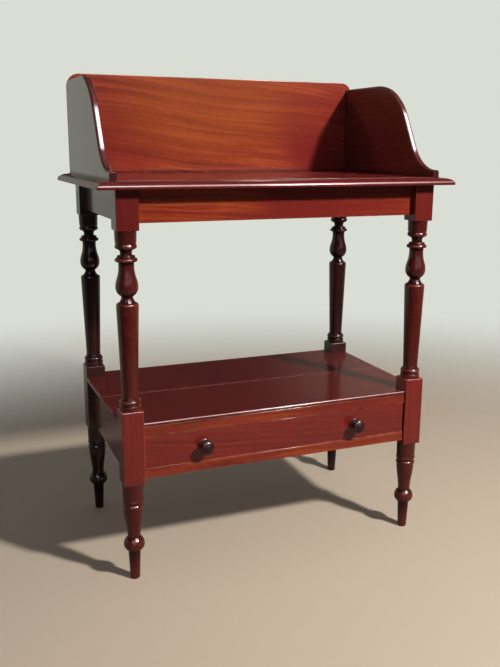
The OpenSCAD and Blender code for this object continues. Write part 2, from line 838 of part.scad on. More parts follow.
// Outline of the dovetails at one end of a drawer side, along the side and upwards from z = 0
module tails(length, grow) {
    for (step = [0, 1]) {
        mid = tail_low_z + tail_h / 2 + step * tail_pitch;
        polygon([[past, mid - tail_h / 2 - grow], [0, mid - tail_h / 2 - grow],
            [-length - grow, mid - tail_h / 2 - tail_flare - grow],
            [-length - grow, mid + tail_h / 2 + tail_flare + grow],
            [0, mid + tail_h / 2 + grow], [past, mid + tail_h / 2 + grow]]);
    }
}

// Dovetails of the left drawer side at its front and at its rear
module front_tails(grow) {
    translate([-drawer_w / 2 - grow, drawer_in_y, 0]) rotate([90, 0, 90])
        linear_extrude(height = side_t + 2 * grow) tails(tail_l, grow);
}

module rear_tails(grow) {
    translate([-drawer_w / 2 - grow, drawer_end_y - side_t, 0]) rotate([90, 0, 90])
        linear_extrude(height = side_t + 2 * grow) mirror([1, 0]) tails(side_t - grow, grow);
}

module bottom_panel(grow) {
    edge = drawer_w / 2 - side_t + groove_d;
    block([-edge - grow, drawer_in_y - groove_d - grow, bottom_z - grow],
        [edge + grow, drawer_end_y, bottom_z + bottom_t + grow]);
}

module drawer_front() {
    color([0.40, 0.11, 0.08]) difference() {
        block([-drawer_w / 2, drawer_front_y, drawer_z], [drawer_w / 2, drawer_in_y, drawer_z + front_h]);
        both_ends_x() front_tails(joint_gap);
        bottom_panel(groove_gap);
        both_ends_x() translate([-knob_x, drawer_front_y - past, knob_z]) rotate([-90, 0, 0])
            cylinder(r = spigot_r + screw_gap, h = front_t + 2 * past, $fn = 64);
    }
}

module left_side() {
    difference() {
        union() {
            block([-drawer_w / 2, drawer_in_y, drawer_z],
                [-drawer_w / 2 + side_t, drawer_end_y - side_t, drawer_z + side_board_h]);
            front_tails(0);
            rear_tails(0);
            block([-drawer_w / 2, drawer_end_y - side_t - past, drawer_z], [-drawer_w / 2 + side_t, drawer_end_y, back_z]);
        }
        bottom_panel(groove_gap);
    }
}

module drawer_left() {
    color([0.66, 0.50, 0.33]) left_side();
}

module drawer_right() {
    color([0.66, 0.50, 0.33]) mirror([1, 0, 0]) left_side();
}

module drawer_back() {
    color([0.66, 0.50, 0.33]) difference() {
        block([-drawer_w / 2, drawer_end_y - side_t, back_z], [drawer_w / 2, drawer_end_y, back_z + back_h]);
        both_ends_x() rear_tails(joint_gap);
        at_bottom_screws() screw(bottom_screw_l, screw_gap);
    }
}

module at_bottom_screws() {
    for (x = bottom_screw_x) {
        translate([x, drawer_end_y - side_t / 2, bottom_z]) children();
    }
}

module drawer_bottom() {
    color([0.70, 0.55, 0.37]) difference() {
        bottom_panel(0);
        at_bottom_screws() screw(bottom_screw_l, screw_gap);
    }
}

module drawer_screws() {
    color([0.35, 0.33, 0.30]) at_bottom_screws() slotted_screw(bottom_screw_l);
}

// One turned knob with its spigot; the knob grows along +Z from the drawer front
module knob() {
    head_z0 = knob_base_t + knob_neck_l - knob_base_t / 2;
    rim_z = head_z0 + knob_rim_round;
    dome_r = knob_r - knob_rim_round;
    dome_round = (dome_r * dome_r + knob_dome * knob_dome) / (2 * knob_dome);
    face_z = rim_z + knob_rim_round;
    rotate_extrude($fn = turn_fn) {
        translate([0, -front_t - spigot_out]) square([spigot_r, front_t + spigot_out + past]);
        square([knob_base_r - knob_base_t / 2, knob_base_t]);
        bead(knob_base_r, knob_base_t / 2, knob_base_t / 2);
        square([knob_neck_r, rim_z]);
        difference() {
            translate([0, rim_z - knob_hollow]) square([dome_r, face_z - rim_z + knob_hollow]);
            translate([knob_neck_r + knob_hollow, rim_z - knob_hollow]) circle(r = knob_hollow, $fn = 48);
        }
        bead(knob_r, rim_z, knob_rim_round);
        intersection() {
            translate([0, face_z + knob_dome - dome_round]) circle(r = dome_round, $fn = arc_fn);
            translate([0, rim_z]) square([dome_r, face_z - rim_z + knob_dome]);
        }
    }
}

module knob_left() {
    color([0.13, 0.06, 0.05]) translate([-knob_x, drawer_front_y, knob_z]) rotate([90, 0, 0]) knob();
}

module knob_right() {
    color([0.13, 0.06, 0.05]) translate([knob_x, drawer_front_y, knob_z]) rotate([90, 0, 0]) knob();
}

leg_front_left();
leg_front_right();
leg_back_left();
leg_back_right();
top_board();
splash_board();
gallery_left();
gallery_right();
apron_front();
apron_back();
apron_left();
apron_right();
glue_blocks();
shelf_front_board();
shelf_back_board();
rail_over_drawer();
rail_under_drawer();
case_left();
case_right();
case_back();
runner_left();
runner_right();
guide_left();
guide_right();
kicker_left();
kicker_right();
drawer_stops();
drawer_front();
drawer_left();
drawer_right();
drawer_back();
drawer_bottom();
drawer_screws();
knob_left();
knob_right();
gallery_screws();
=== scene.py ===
"""Looks of a small mahogany washstand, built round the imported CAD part.

The meshes are in metres in the CAD frame: X runs left to right, the drawer opens towards -Y and Z
is up from the floor. The sizes of the pieces are in millimetres. Each sub-assembly is a class that
builds its pieces, dresses them in a finish made of shader nodes and says which CAD nodes they
stand for.
"""

import logging
import math
from dataclasses import dataclass, replace
from enum import Enum
from typing import Callable, Sequence, Union

import bmesh
import bpy
import numpy as np
from mathutils import Matrix, Vector


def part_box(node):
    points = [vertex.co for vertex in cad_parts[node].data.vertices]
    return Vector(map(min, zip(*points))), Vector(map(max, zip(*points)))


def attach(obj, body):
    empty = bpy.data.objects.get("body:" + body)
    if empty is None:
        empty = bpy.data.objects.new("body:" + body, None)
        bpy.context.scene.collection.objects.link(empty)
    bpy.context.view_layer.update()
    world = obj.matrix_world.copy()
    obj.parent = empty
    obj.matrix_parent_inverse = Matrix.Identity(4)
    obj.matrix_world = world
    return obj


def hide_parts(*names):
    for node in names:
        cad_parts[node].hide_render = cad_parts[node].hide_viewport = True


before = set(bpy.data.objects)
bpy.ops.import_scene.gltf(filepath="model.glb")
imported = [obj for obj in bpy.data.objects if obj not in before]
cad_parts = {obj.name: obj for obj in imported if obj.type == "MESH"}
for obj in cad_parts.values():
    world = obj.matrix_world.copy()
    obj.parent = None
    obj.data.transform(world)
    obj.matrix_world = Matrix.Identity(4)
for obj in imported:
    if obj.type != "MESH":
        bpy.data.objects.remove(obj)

LOG = logging.getLogger("washstand")
MM = 0.001
SNAP = 1e-6
FLAT_ANGLE = math.radians(0.6)
SHARP_ARRIS = math.radians(35)
STAND = "stand"
DRAWER = "drawer"

Pair = tuple[float, float]
Triple = tuple[float, float, float]
Colour = Triple
Feed = Union["Signal", float, int, str, Sequence[float], bpy.types.ID]


def srgb(red: int, green: int, blue: int) -> Colour:
    """Turns a screen colour of 0 to 255 into the linear colour that a shader takes.

    Args:
        red: Red part on the screen.
        green: Green part on the screen.
        blue: Blue part on the screen.

    Returns:
        The three linear values.
    """
    def linear(level: int) -> float:
        """One channel, from the screen's curve to light."""
        share = level / 255
        return share / 12.92 if share <= 0.04045 else ((share + 0.055) / 1.055) ** 2.4

    return linear(red), linear(green), linear(blue)


# Node trees


class Signal:
    """One output of a node, which can be used in Python expressions."""

    def __init__(self, graph: "Graph", socket: bpy.types.NodeSocket) -> None:
        """Wraps a socket of a graph."""
        self.graph = graph
        self.socket = socket

    def out(self, name: Union[str, int]) -> "Signal":
        """Another output of the same node."""
        return Signal(self.graph, self.socket.node.outputs[name])

    def math(self, operation: str, *others: Feed) -> "Signal":
        """Applies one Math node to this value.

        Args:
            operation: The Math node's operation.
            others: The second value, where the operation takes two.

        Returns:
            The result.
        """
        return self.graph.add("ShaderNodeMath", {"operation": operation},
                              dict(enumerate((self, *others))))

    def __add__(self, other: Feed) -> "Signal":
        """Sum."""
        return self.math("ADD", other)

    __radd__ = __add__

    def __sub__(self, other: Feed) -> "Signal":
        """Difference."""
        return self.math("SUBTRACT", other)

    def __rsub__(self, other: Feed) -> "Signal":
        """Difference, from a number."""
        return self.graph.add("ShaderNodeMath", {"operation": "SUBTRACT"}, {0: other, 1: self})

    def __mul__(self, other: Feed) -> "Signal":
        """Product."""
        return self.math("MULTIPLY", other)

    __rmul__ = __mul__

    def __truediv__(self, other: Feed) -> "Signal":
        """Quotient."""
        return self.math("DIVIDE", other)

    def __pow__(self, other: Feed) -> "Signal":
        """Power."""
        return self.math("POWER", other)

    def __abs__(self) -> "Signal":
        """Size without its sign."""
        return self.math("ABSOLUTE")

    def low(self, other: Feed) -> "Signal":
        """The smaller of two values."""
        return self.math("MINIMUM", other)

    def high(self, other: Feed) -> "Signal":
        """The larger of two values."""
        return self.math("MAXIMUM", other)

    def ramp(self, start: float, end: float) -> "Signal":
        """Turns a range of this value into a smooth 0 to 1.

        Args:
            start: The value that gives 0.
            end: The value that gives 1. It may be below start.

        Returns:
            The mask.
        """
        return self.graph.add("ShaderNodeMapRange", {"interpolation_type": "SMOOTHSTEP"},
                              {"Value": self, "From Min": start, "From Max": end})


class Graph:
    """A node tree with one way to add nodes to it."""

    def __init__(self, tree: bpy.types.NodeTree) -> None:
        """Starts on a tree and empties it."""
        self.tree = tree
        tree.nodes.clear()

    def add(self, kind: str, settings: dict[str, object] | None = None,
            values: dict[Union[str, int], Feed] | None = None,
            output: Union[str, int] = 0) -> Signal:
        """Adds a node.

        Args:
            kind: The node's type.
            settings: Its own settings, set first. "stops" gives a colour ramp's stops.
            values: What each of its inputs takes: a number, a colour or another node's output.
            output: The output that is given back.

        Returns:
            That output, or a Signal on the first input where the node has no outputs.
        """
        node = self.tree.nodes.new(kind)
        for name, value in (settings or {}).items():
            if name == "stops":
                self._set_stops(node.color_ramp, value)
            else:
                setattr(node, name, value)
        for name, value in (values or {}).items():
            self.feed(node.inputs[name], value)
        return Signal(self, node.outputs[output] if node.outputs else node.inputs[0])

    @staticmethod
    def _set_stops(ramp: bpy.types.ColorRamp, stops: Sequence[tuple[float, Colour]]) -> None:
        """Gives a colour ramp its stops.

        Args:
            ramp: The colour ramp.
            stops: The place and the colour of each stop.
        """
        while len(ramp.elements) < len(stops):
            ramp.elements.new(0.5)
        for element, (position, colour) in zip(ramp.elements, stops):
            element.position = position
            element.color = (*colour, 1)

    def feed(self, socket: bpy.types.NodeSocket, value: Feed) -> None:
        """Links an output to an input, or writes a plain value on it.

        Args:
            socket: The input.
            value: The output or the value.
        """
        if isinstance(value, Signal):
            self.tree.links.new(value.socket, socket)
        elif socket.type == "RGBA" and isinstance(value, tuple) and len(value) == 3:
            socket.default_value = (*value, 1)
        else:
            socket.default_value = value

    def vector(self, x: Feed, y: Feed, z: Feed) -> Signal:
        """Three values as one vector."""
        return self.add("ShaderNodeCombineXYZ", None, {0: x, 1: y, 2: z})

    def moved(self, at: Signal, shift: Triple, scale: Triple) -> Signal:
        """A place that is scaled along each axis and then moved."""
        return self.add("ShaderNodeMapping", None, {
            "Vector": at, "Location": shift, "Scale": scale})

    def noise(self, at: Signal, detail: float = 2, roughness: float = 0.5) -> Signal:
        """Soft noise of one unit in size, 0 to 1, at a vector."""
        return self.add("ShaderNodeTexNoise", {"noise_dimensions": "3D"},
                        {"Vector": at, "Scale": 1.0, "Detail": detail, "Roughness": roughness})

    def bands(self, at: Signal) -> Signal:
        """Uneven bands of one unit in width, 0 to 1, along one value."""
        return self.add("ShaderNodeTexNoise", {"noise_dimensions": "1D"},
                        {"W": at, "Scale": 1.0, "Detail": 3, "Roughness": 0.6})

    def mix(self, share: Feed, first: Feed, second: Feed) -> Signal:
        """Mixes two colours.

        Args:
            share: How much of the second one, 0 to 1.
            first: The colour at 0.
            second: The colour at 1.

        Returns:
            The colour.
        """
        return self.add("ShaderNodeMix", {"data_type": "RGBA"},
                        {0: share, 6: first, 7: second}, 2)


# Finishes


BLACK = (0.0, 0.0, 0.0)
POLISH_IOR = 1.5
SEED_STEP = 3.7
RIBBON_SLANT = 0.4


class Grain(Enum):
    """How a board's grain lies: the axes along it, across its face and through its thickness."""

    LONG_FRONT = "xzy"
    LONG_FLAT = "xyz"
    SIDE = "yzx"
    POST = "zxy"


class Work(Enum):
    """How a piece was shaped, which says where it is rubbed and where it is darkened."""

    SQUARE = "square edges"
    MOULDED = "moulded edge"
    CURVED = "curved outline"
    TURNED = "turned"


@dataclass(frozen=True)
class Line:
    """A darker or lighter line along a joint: its axis, where it starts and where it is strongest.
    """

    axis: str
    start: float
    thickest: float


@dataclass(frozen=True)
class Cut:
    """Where one board was cut from the tree, and how it is used on the stand.

    Pith is the middle of the tree, as distances across the board and through it from the board's
    middle. The faded place is an ellipsoid: its middle and its half sizes.
    """

    low: Vector
    high: Vector
    grain: Grain
    seed: float
    pith: Pair = (0.05, 0.10)
    slope: float = 0.06
    work: Work = Work.SQUARE
    darkening: tuple[Line, ...] = ()
    light_lines: tuple[Line, ...] = ()
    faded: tuple[Vector, Vector] | None = None

    @property
    def middle(self) -> Vector:
        """The middle of the board."""
        return (self.low + self.high) / 2


@dataclass(frozen=True)
class Layer:
    """One layer of noise: how often it changes per metre on each of three axes, and its detail."""

    pitch: Triple
    detail: float = 2
    roughness: float = 0.5


class Canvas:
    """A new material, with the coordinates of the piece that wears it."""

    def __init__(self, name: str) -> None:
        """Starts an empty material.

        Args:
            name: The material's name.
        """
        self.made = bpy.data.materials.new(name)
        self.made.use_nodes = True
        self.graph = Graph(self.made.node_tree)
        self.place = self.graph.add("ShaderNodeTexCoord", output="Object")
        parts = self.graph.add("ShaderNodeSeparateXYZ", None, {0: self.place})
        self.axes = {axis: parts.out(axis.upper()) for axis in "xyz"}

    def stored(self, name: str) -> Signal:
        """A number that the mesh holds at each of its points."""
        return self.graph.add("ShaderNodeAttribute", {"attribute_name": name}, None, "Fac")

    def on_piece(self, layer: Layer, shift: Triple = (0.0, 0.0, 0.0)) -> Signal:
        """A layer of noise on the piece's own axes, 0 to 1."""
        at = self.graph.moved(self.place, shift, layer.pitch)
        return self.graph.noise(at, layer.detail, layer.roughness)

    def in_grain(self, layer: Layer, at: Sequence[Signal],
                 shift: Triple = (0.0, 0.0, 0.0)) -> Signal:
        """A layer of noise that lies with the grain.

        Args:
            layer: The layer.
            at: Distances along, across and through the grain.
            shift: Where the noise starts on each of them.

        Returns:
            The noise, 0 to 1.
        """
        scaled = [part * pitch + start if start else part * pitch
                  for part, pitch, start in zip(at, layer.pitch, shift)]
        return self.graph.noise(self.graph.vector(*scaled), layer.detail, layer.roughness)

    def bump(self, height: Signal, depth: float, strength: float = 1.0,
             under: Signal | None = None) -> Signal:
        """Small heights on the surface.

        Args:
            height: The heights, 0 to 1.
            depth: What a height of 1 is in metres.
            strength: How much of them shows.
            under: The normal that they lie on, if it isn't the mesh's own.

        Returns:
            The normal.
        """
        values: dict[Union[str, int], Feed] = {
            "Strength": strength, "Distance": depth, "Height": height}
        if under is not None:
            values["Normal"] = under
        return self.graph.add("ShaderNodeBump", None, values)

    def finish(self, values: dict[Union[str, int], Feed]) -> bpy.types.Material:
        """Puts the surface together.

        Args:
            values: What goes into the shader's inputs, by their names.

        Returns:
            The material, ready to be worn.
        """
        shader = self.graph.add("ShaderNodeBsdfPrincipled", None, {"IOR": POLISH_IOR, **values})
        self.graph.add("ShaderNodeOutputMaterial", None, {"Surface": shader})
        return self.made


SWAY = Layer((2.2, 5.0, 5.0))
LEAN = Layer((7.0, 17.0, 17.0))
STREAKS = Layer((5.0, 260.0, 260.0), 5, 0.6)
RIBBON = Layer((10.0, 34.0, 0.0))
FIBRE = Layer((24.0, 620.0, 620.0), 3, 0.6)
DASHES = Layer((70.0, 1500.0, 1500.0), 1)
DRIFT = Layer((3.0, 85.0, 60.0), 3, 0.55)
CLOUDS = Layer((3.0, 4.0, 4.0))
SWELLS = Layer((14.0, 19.0, 19.0), 3)
DULLING = Layer((21.0, 21.0, 21.0), 4)
PATCHES = Layer((55.0, 55.0, 55.0), 4, 0.65)


def swing(noise: Signal, reach: float) -> Signal:
    """Noise about zero, that reaches so far to either side."""
    return (noise - 0.5) * (2.0 * reach)


def dimmed(colour: Colour, share: float) -> Colour:
    """A colour at a share of its light."""
    return tuple(share * part for part in colour)


@dataclass(frozen=True)
class Ageing:
    """What long use does to the wood, and the darker and lighter lines along its joints. Each pair
    is a range over which a mask runs from 0 to 1.
    """

    arris: Pair = (0.0035, 0.0004)
    rubbed_arris: Pair = (0.40, 0.68)
    rubbed_crest: Pair = (0.35, 0.65)
    rim: Pair = (0.75, 1.0)
    rubbed_rim: Pair = (0.50, 0.80)
    rim_share: float = 0.4
    light_line_patches: Pair = (0.35, 0.60)
    light_line_least: float = 0.4
    groove: Pair = (0.25, 0.95)
    groove_dirt: Pair = (0.15, 0.55)
    specks: Pair = (0.70, 0.86)
    speck_share: float = 0.25
    darkening_patches: Pair = (0.25, 0.60)
    darkening_least: float = 0.6

    def marks(self, canvas: Canvas, cut: Cut) -> tuple[Feed, Signal]:
        """Where the piece is rubbed and where it is darkened.

        Args:
            canvas: The piece's material.
            cut: How its board was cut.

        Returns:
            The rubbed places and the darkened places, each 0 to 1.
        """
        patchy = canvas.on_piece(PATCHES)
        if cut.work is Work.TURNED:
            return (canvas.stored("crest") * patchy.ramp(*self.rubbed_crest),
                    canvas.stored("groove").ramp(*self.groove) * patchy.ramp(*self.groove_dirt))
        darkening = self._darkened_places(patchy, canvas, cut)
        if cut.work is Work.CURVED:
            rim = canvas.stored("rim").ramp(*self.rim)
            return rim * patchy.ramp(*self.rubbed_rim) * self.rim_share, darkening
        if cut.work is Work.MOULDED:
            return 0.0, darkening
        return self._rubbed(patchy, canvas, cut), darkening

    def _rubbed(self, patchy: Signal, canvas: Canvas, cut: Cut) -> Signal:
        """The rubbed arrises of a square board, and the lighter lines along its joints.

        Args:
            patchy: Noise that breaks them up.
            canvas: The piece's material.
            cut: How its board was cut.

        Returns:
            The mask, 0 to 1.
        """
        size, middle = (cut.high - cut.low) / 2, cut.middle
        x, y, z = (getattr(size, axis) - abs(canvas.axes[axis] - getattr(middle, axis))
                   for axis in "xyz")
        second_nearest = x.low(y).high(x.high(y).low(z))
        worn = second_nearest.ramp(*self.arris) * patchy.ramp(*self.rubbed_arris)
        # Lighter lines along joints, in the worn colour, such as along the shelf's seam.
        for line in cut.light_lines:
            spread = self.light_line_least + patchy.ramp(*self.light_line_patches) * (1 - self.light_line_least)
            worn = worn.high(canvas.axes[line.axis].ramp(line.start, line.thickest) * spread)
        return worn

    def _darkened_places(self, patchy: Signal, canvas: Canvas, cut: Cut) -> Signal:
        """Specks of grime, and the darker lines in the corners where boards meet.

        Args:
            patchy: Noise that breaks it up.
            canvas: The piece's material.
            cut: How its board was cut.

        Returns:
            The mask, 0 to 1.
        """
        darkening_patches = patchy.ramp(*self.specks) * self.speck_share
        # Darker lines along joints, such as at the foot of the back board and on the top next to it.
        for line in cut.darkening:
            mask = canvas.axes[line.axis].ramp(line.start, line.thickest)
            spread = self.darkening_least + patchy.ramp(*self.darkening_patches) * (1 - self.darkening_least)
            darkening_patches = darkening_patches.high(mask * mask * spread)
        return darkening_patches


@dataclass(frozen=True)
class Wood:
    """A wood with its stain and its polish.

    Figure, streak, broad, ribbon and fibre are how far the growth rings, the streaks and so on
    move the tone, which runs from dark over body to light at the three stops. Sway and lean are
    how far the rings wander, in metres. A pair is a range over which a mask runs from 0 to 1.
    """

    name: str
    slot: str
    dark: Colour
    body: Colour
    light: Colour
    stain: Colour
    worn: Colour
    bleached: Colour = srgb(168, 84, 32)
    ring: float = 0.007
    figure: float = 0.26
    streak: float = 0.30
    broad: float = 0.0
    ribbon: float = 0.15
    fibre: float = 0.10
    patch: float = 0.5
    sway: float = 0.0225
    lean: float = 0.006
    stops: Triple = (0.10, 0.50, 0.90)
    stained: Pair = (0.38, 0.66)
    pores: Pair = (0.60, 0.70)
    pore_share: float = 0.45
    pore_shade: float = 0.35
    roughness: float = 0.55
    rougher_fibre: float = 0.05
    rougher_patch: float = 0.08
    rougher_grime: float = 0.18
    rougher_pores: float = 0.10
    coat: float = 1.0
    coat_roughness: float = 0.11
    coat_under_grime: float = 0.65
    coat_where_rubbed: float = 0.75
    under_polish: float = 0.12
    polish_depth: float = 0.0004
    rim_flatness: float = 0.85
    grain_depth: float = 0.00002
    grain_strength: float = 0.3
    pore_depth: float = 0.8
    # How far the attribute "shade" darkens turned work: partly for its end grain, partly as painted
    # shade.
    end_grain_and_painted_shade: float = 0.0
    fading: Pair = (1.15, 0.25)
    faded_share: float = 0.75
    faded_dark: float = 0.45
    wear: float = 0.5
    grime: float = 0.75
    grime_shade: float = 0.16
    ageing: Ageing = Ageing()

    def material(self, piece: str, cut: Cut) -> bpy.types.Material:
        """Makes this finish for one piece.

        Args:
            piece: The piece's name.
            cut: How its board was cut.

        Returns:
            The material.
        """
        canvas = Canvas(f"{self.name}_{piece}")
        graph = canvas.graph
        tone, fibre, pores = self._figure(canvas, cut)
        worn, grimy = self.ageing.marks(canvas, cut)
        colour = graph.mix(worn * self.wear, self._colour(canvas, tone, pores, cut), self.worn)
        colour = graph.mix(grimy * self.grime, colour, dimmed(self.dark, self.grime_shade))
        uneven = (swing(fibre, self.rougher_fibre)
                  + swing(canvas.on_piece(DULLING), self.rougher_patch)
                  + grimy * self.rougher_grime + pores * self.rougher_pores)
        coat = (self.coat * (1 - grimy * (1 - self.coat_under_grime))
                * (1 - worn * (1 - self.coat_where_rubbed))) if self.coat else 0.0
        return canvas.finish({
            "Base Color": colour, "Roughness": self.roughness + uneven,
            "Coat Weight": coat, "Coat Roughness": self.coat_roughness,
            "Specular IOR Level": self.under_polish,
            "Normal": self._relief(canvas, fibre, pores, cut)})

    def _figure(self, canvas: Canvas, cut: Cut) -> tuple[Signal, Signal, Signal]:
        """The growth rings, the fibres and the pores of the board.

        Args:
            canvas: The piece's material.
            cut: How its board was cut.

        Returns:
            The tone of the wood, the fibres and the pores, each 0 to 1.
        """
        seed = cut.seed
        along, across, through = (canvas.axes[axis] - getattr(cut.middle, axis)
                                  for axis in cut.grain.value)
        along = along + seed * SEED_STEP
        straight = (along, across, through)
        sway = swing(canvas.in_grain(SWAY, straight, (seed, 0.0, 0.0)), self.sway)
        lean = swing(canvas.in_grain(LEAN, straight, (0.0, seed, 0.0)), self.lean)
        offset = across - cut.pith[0] + along * cut.slope + sway
        depth = through - cut.pith[1] + lean
        bent = (along, offset, depth)
        radius = (offset * offset + depth * depth) ** 0.5
        rings = canvas.graph.bands(radius / self.ring + seed)
        streaks = canvas.in_grain(STREAKS, bent, (0.0, 0.0, seed))
        slanted = (along + across * RIBBON_SLANT, offset, depth)
        ribbon = canvas.in_grain(RIBBON, slanted, (0.0, 0.0, seed))
        fibre = canvas.in_grain(FIBRE, bent)
        dashes = canvas.in_grain(DASHES, bent)
        tone = (0.5 + swing(rings, self.figure) + swing(streaks, self.streak)
                + swing(ribbon, self.ribbon) + swing(fibre, self.fibre))
        if self.broad:
            tone = tone + swing(canvas.in_grain(DRIFT, bent), self.broad)
        return tone, fibre, dashes.ramp(*self.pores)

    def _colour(self, canvas: Canvas, tone: Signal, pores: Signal, cut: Cut) -> Signal:
        """The stained wood's colour before wear, with the painted shade on turned work.

        Args:
            canvas: The piece's material.
            tone: How light the wood is, 0 to 1.
            pores: Where its pores are.
            cut: How its board was cut.

        Returns:
            The colour.
        """
        graph = canvas.graph
        stops = tuple(zip(self.stops, (self.dark, self.body, self.light)))
        colour = graph.add("ShaderNodeValToRGB", {"stops": stops}, {0: tone})
        clouds = canvas.on_piece(CLOUDS, (cut.seed, 2 * cut.seed, 0.0))
        colour = graph.mix(clouds.ramp(*self.stained) * self.patch, colour, self.stain)
        if cut.faded:
            middle, half = cut.faded
            around = graph.moved(canvas.place, tuple(-m / h for m, h in zip(middle, half)),
                                 tuple(1 / h for h in half))
            away = graph.add("ShaderNodeVectorMath", {"operation": "LENGTH"}, {0: around}, "Value")
            light = away.ramp(*self.fading) * (self.faded_dark + tone * (1 - self.faded_dark))
            colour = graph.mix(light * self.faded_share, colour, self.bleached)
        # Painted shade: the turned work and the head blocks are darkened by the attribute "shade".
        if cut.work is Work.TURNED:
            colour = graph.mix(canvas.stored("shade") * self.end_grain_and_painted_shade, colour, BLACK)
        return graph.mix(pores * self.pore_share, colour, dimmed(self.dark, self.pore_shade))

    def _relief(self, canvas: Canvas, fibre: Signal, pores: Signal, cut: Cut) -> Signal:
        """The uneven old polish and the open grain, as a normal.

        Args:
            canvas: The piece's material.
            fibre: The fibres of the wood.
            pores: Where its pores are.
            cut: How its board was cut.

        Returns:
            The normal.
        """
        swell = canvas.on_piece(SWELLS, (cut.seed, 0.0, cut.seed))
        if cut.work is Work.CURVED:
            swell = (swell - 0.5) * (1 - canvas.stored("rim") * self.rim_flatness) + 0.5
        smooth = canvas.bump(swell, self.polish_depth)
        return canvas.bump(fibre - pores * self.pore_depth, self.grain_depth,
                           self.grain_strength, smooth)


@dataclass(frozen=True)
class DarkKnobWood:
    """Turned wood, stained nearly black and rubbed by hands."""

    name: str = "knob_wood"
    slot: str = "knob_wood"
    deep: Colour = srgb(52, 19, 18)
    brown: Colour = srgb(96, 38, 33)
    fibre: Layer = Layer((260.0, 30.0, 260.0), 4, 0.6)
    clouds: Layer = Layer((70.0, 70.0, 70.0), 3)
    streaked: Pair = (0.40, 0.72)
    streak_share: float = 0.7
    groove_share: float = 0.8
    groove_shade: float = 0.3
    roughness: float = 0.34
    rougher_patch: float = 0.11
    rougher_groove: float = 0.2
    coat_in_groove: float = 0.4
    coat_roughness: float = 0.09
    coat_ior: float = 1.7
    under_polish: float = 0.15
    polish_depth: float = 0.00008
    polish_strength: float = 0.4
    fibre_height: float = 0.2

    def material(self, piece: str, centre: Vector) -> bpy.types.Material:
        """Makes the finish for one knob.

        Args:
            piece: The knob's name.
            centre: The middle of the knob's head.

        Returns:
            The material.
        """
        canvas = Canvas(f"{self.name}_{piece}")
        fibre, clouds = (
            canvas.on_piece(layer, tuple(-c * pitch for c, pitch in zip(centre, layer.pitch)))
            for layer in (self.fibre, self.clouds))
        groove = canvas.stored("groove")
        streaks = fibre.ramp(*self.streaked) * self.streak_share
        colour = canvas.graph.mix(streaks, self.deep, self.brown)
        colour = canvas.graph.mix(groove * self.groove_share, colour,
                                  dimmed(self.deep, self.groove_shade))
        uneven = swing(clouds, self.rougher_patch) + groove * self.rougher_groove
        return canvas.finish({
            "Base Color": colour, "Roughness": self.roughness + uneven,
            "Coat Weight": 1.0 - groove * (1 - self.coat_in_groove),
            "Coat Roughness": self.coat_roughness, "Coat IOR": self.coat_ior,
            "Specular IOR Level": self.under_polish,
            "Normal": canvas.bump(clouds + fibre * self.fibre_height, self.polish_depth,
                                  self.polish_strength)})


@dataclass(frozen=True)
class OldSteel:
    """Screws of iron, browned by age."""

    name: str = "screw_steel"
    slot: str = "screw_steel"
    bright: Colour = srgb(140, 132, 122)
    brown: Colour = srgb(72, 45, 30)
    spots: Layer = Layer((420.0, 420.0, 420.0), 4, 0.65)
    rusted: Pair = (0.44, 0.66)
    metal_under_rust: float = 0.15
    roughness: float = 0.34
    rougher_rust: float = 0.42
    rust_depth: float = 0.00012
    rust_strength: float = 0.6

    def material(self) -> bpy.types.Material:
        """Makes the finish.

        Returns:
            The material.
        """
        canvas = Canvas(self.name)
        spots = canvas.on_piece(self.spots)
        rust = spots.ramp(*self.rusted)
        return canvas.finish({
            "Base Color": canvas.graph.mix(rust, self.bright, self.brown),
            "Metallic": 1 - rust * (1 - self.metal_under_rust),
            "Roughness": self.roughness + rust * self.rougher_rust,
            "Normal": canvas.bump(spots, self.rust_depth, self.rust_strength)})


BRIGHT = Wood("mahogany_bright", "mahogany_bright", dark=srgb(100, 30, 19), body=srgb(147, 52, 27),
              light=srgb(184, 84, 38), stain=srgb(124, 31, 26), worn=srgb(190, 108, 68),
              figure=0.34, streak=0.44, broad=0.68, patch=0.95, coat=0.85, coat_roughness=0.13,
              under_polish=0.08, wear=0.35)
RED = Wood("mahogany_red", "mahogany_red", dark=srgb(92, 24, 20), body=srgb(131, 37, 30),
           light=srgb(154, 52, 36), stain=srgb(106, 26, 25), worn=srgb(168, 82, 60),
           streak=0.34, under_polish=0.07, end_grain_and_painted_shade=0.60)
BOARD_RED = replace(RED, name="mahogany_board", dark=srgb(70, 17, 15), body=srgb(98, 26, 22),
                    light=srgb(118, 37, 27), stain=srgb(82, 18, 19), coat=0.75,
                    coat_roughness=0.18, under_polish=0.04)
# Painted shade: a darker copy of the red finish, which gives the back legs the shade they stand in.
SHADED_RED = replace(RED, name="mahogany_shaded_red", dark=srgb(38, 15, 14), body=srgb(54, 21, 18),
                   light=srgb(70, 27, 23), stain=srgb(43, 16, 16), worn=srgb(98, 54, 44),
                   coat=0.9, under_polish=0.05, end_grain_and_painted_shade=0.30)
# Painted shade: a darker finish for the side and back boards, for the shade that falls on them.
SHADED_SIDE_AND_BACK = Wood("mahogany_dark", "mahogany_dark", dark=srgb(56, 19, 17), body=srgb(84, 28, 24),
            light=srgb(108, 38, 30), stain=srgb(68, 20, 20), worn=srgb(130, 66, 54),
            roughness=0.58, coat_roughness=0.14)
# The shelf keeps that finish's polish but has colours of its own, without the painted shade.
SHELF = replace(SHADED_SIDE_AND_BACK, name="mahogany_shelf", dark=srgb(70, 17, 15), body=srgb(96, 24, 20),
                light=srgb(118, 37, 28), stain=srgb(80, 17, 17), worn=srgb(168, 104, 88),
                coat_roughness=0.17, under_polish=0.03, wear=0.65)
PALE = Wood("pale_wood", "pale_wood", dark=srgb(128, 92, 58), body=srgb(168, 130, 88),
            light=srgb(196, 162, 116), stain=srgb(142, 106, 72), worn=srgb(206, 178, 138),
            ring=0.006, figure=0.6, patch=0.4, roughness=0.62, coat=0.0, under_polish=0.4,
            grime=0.4)


# Geometry Nodes


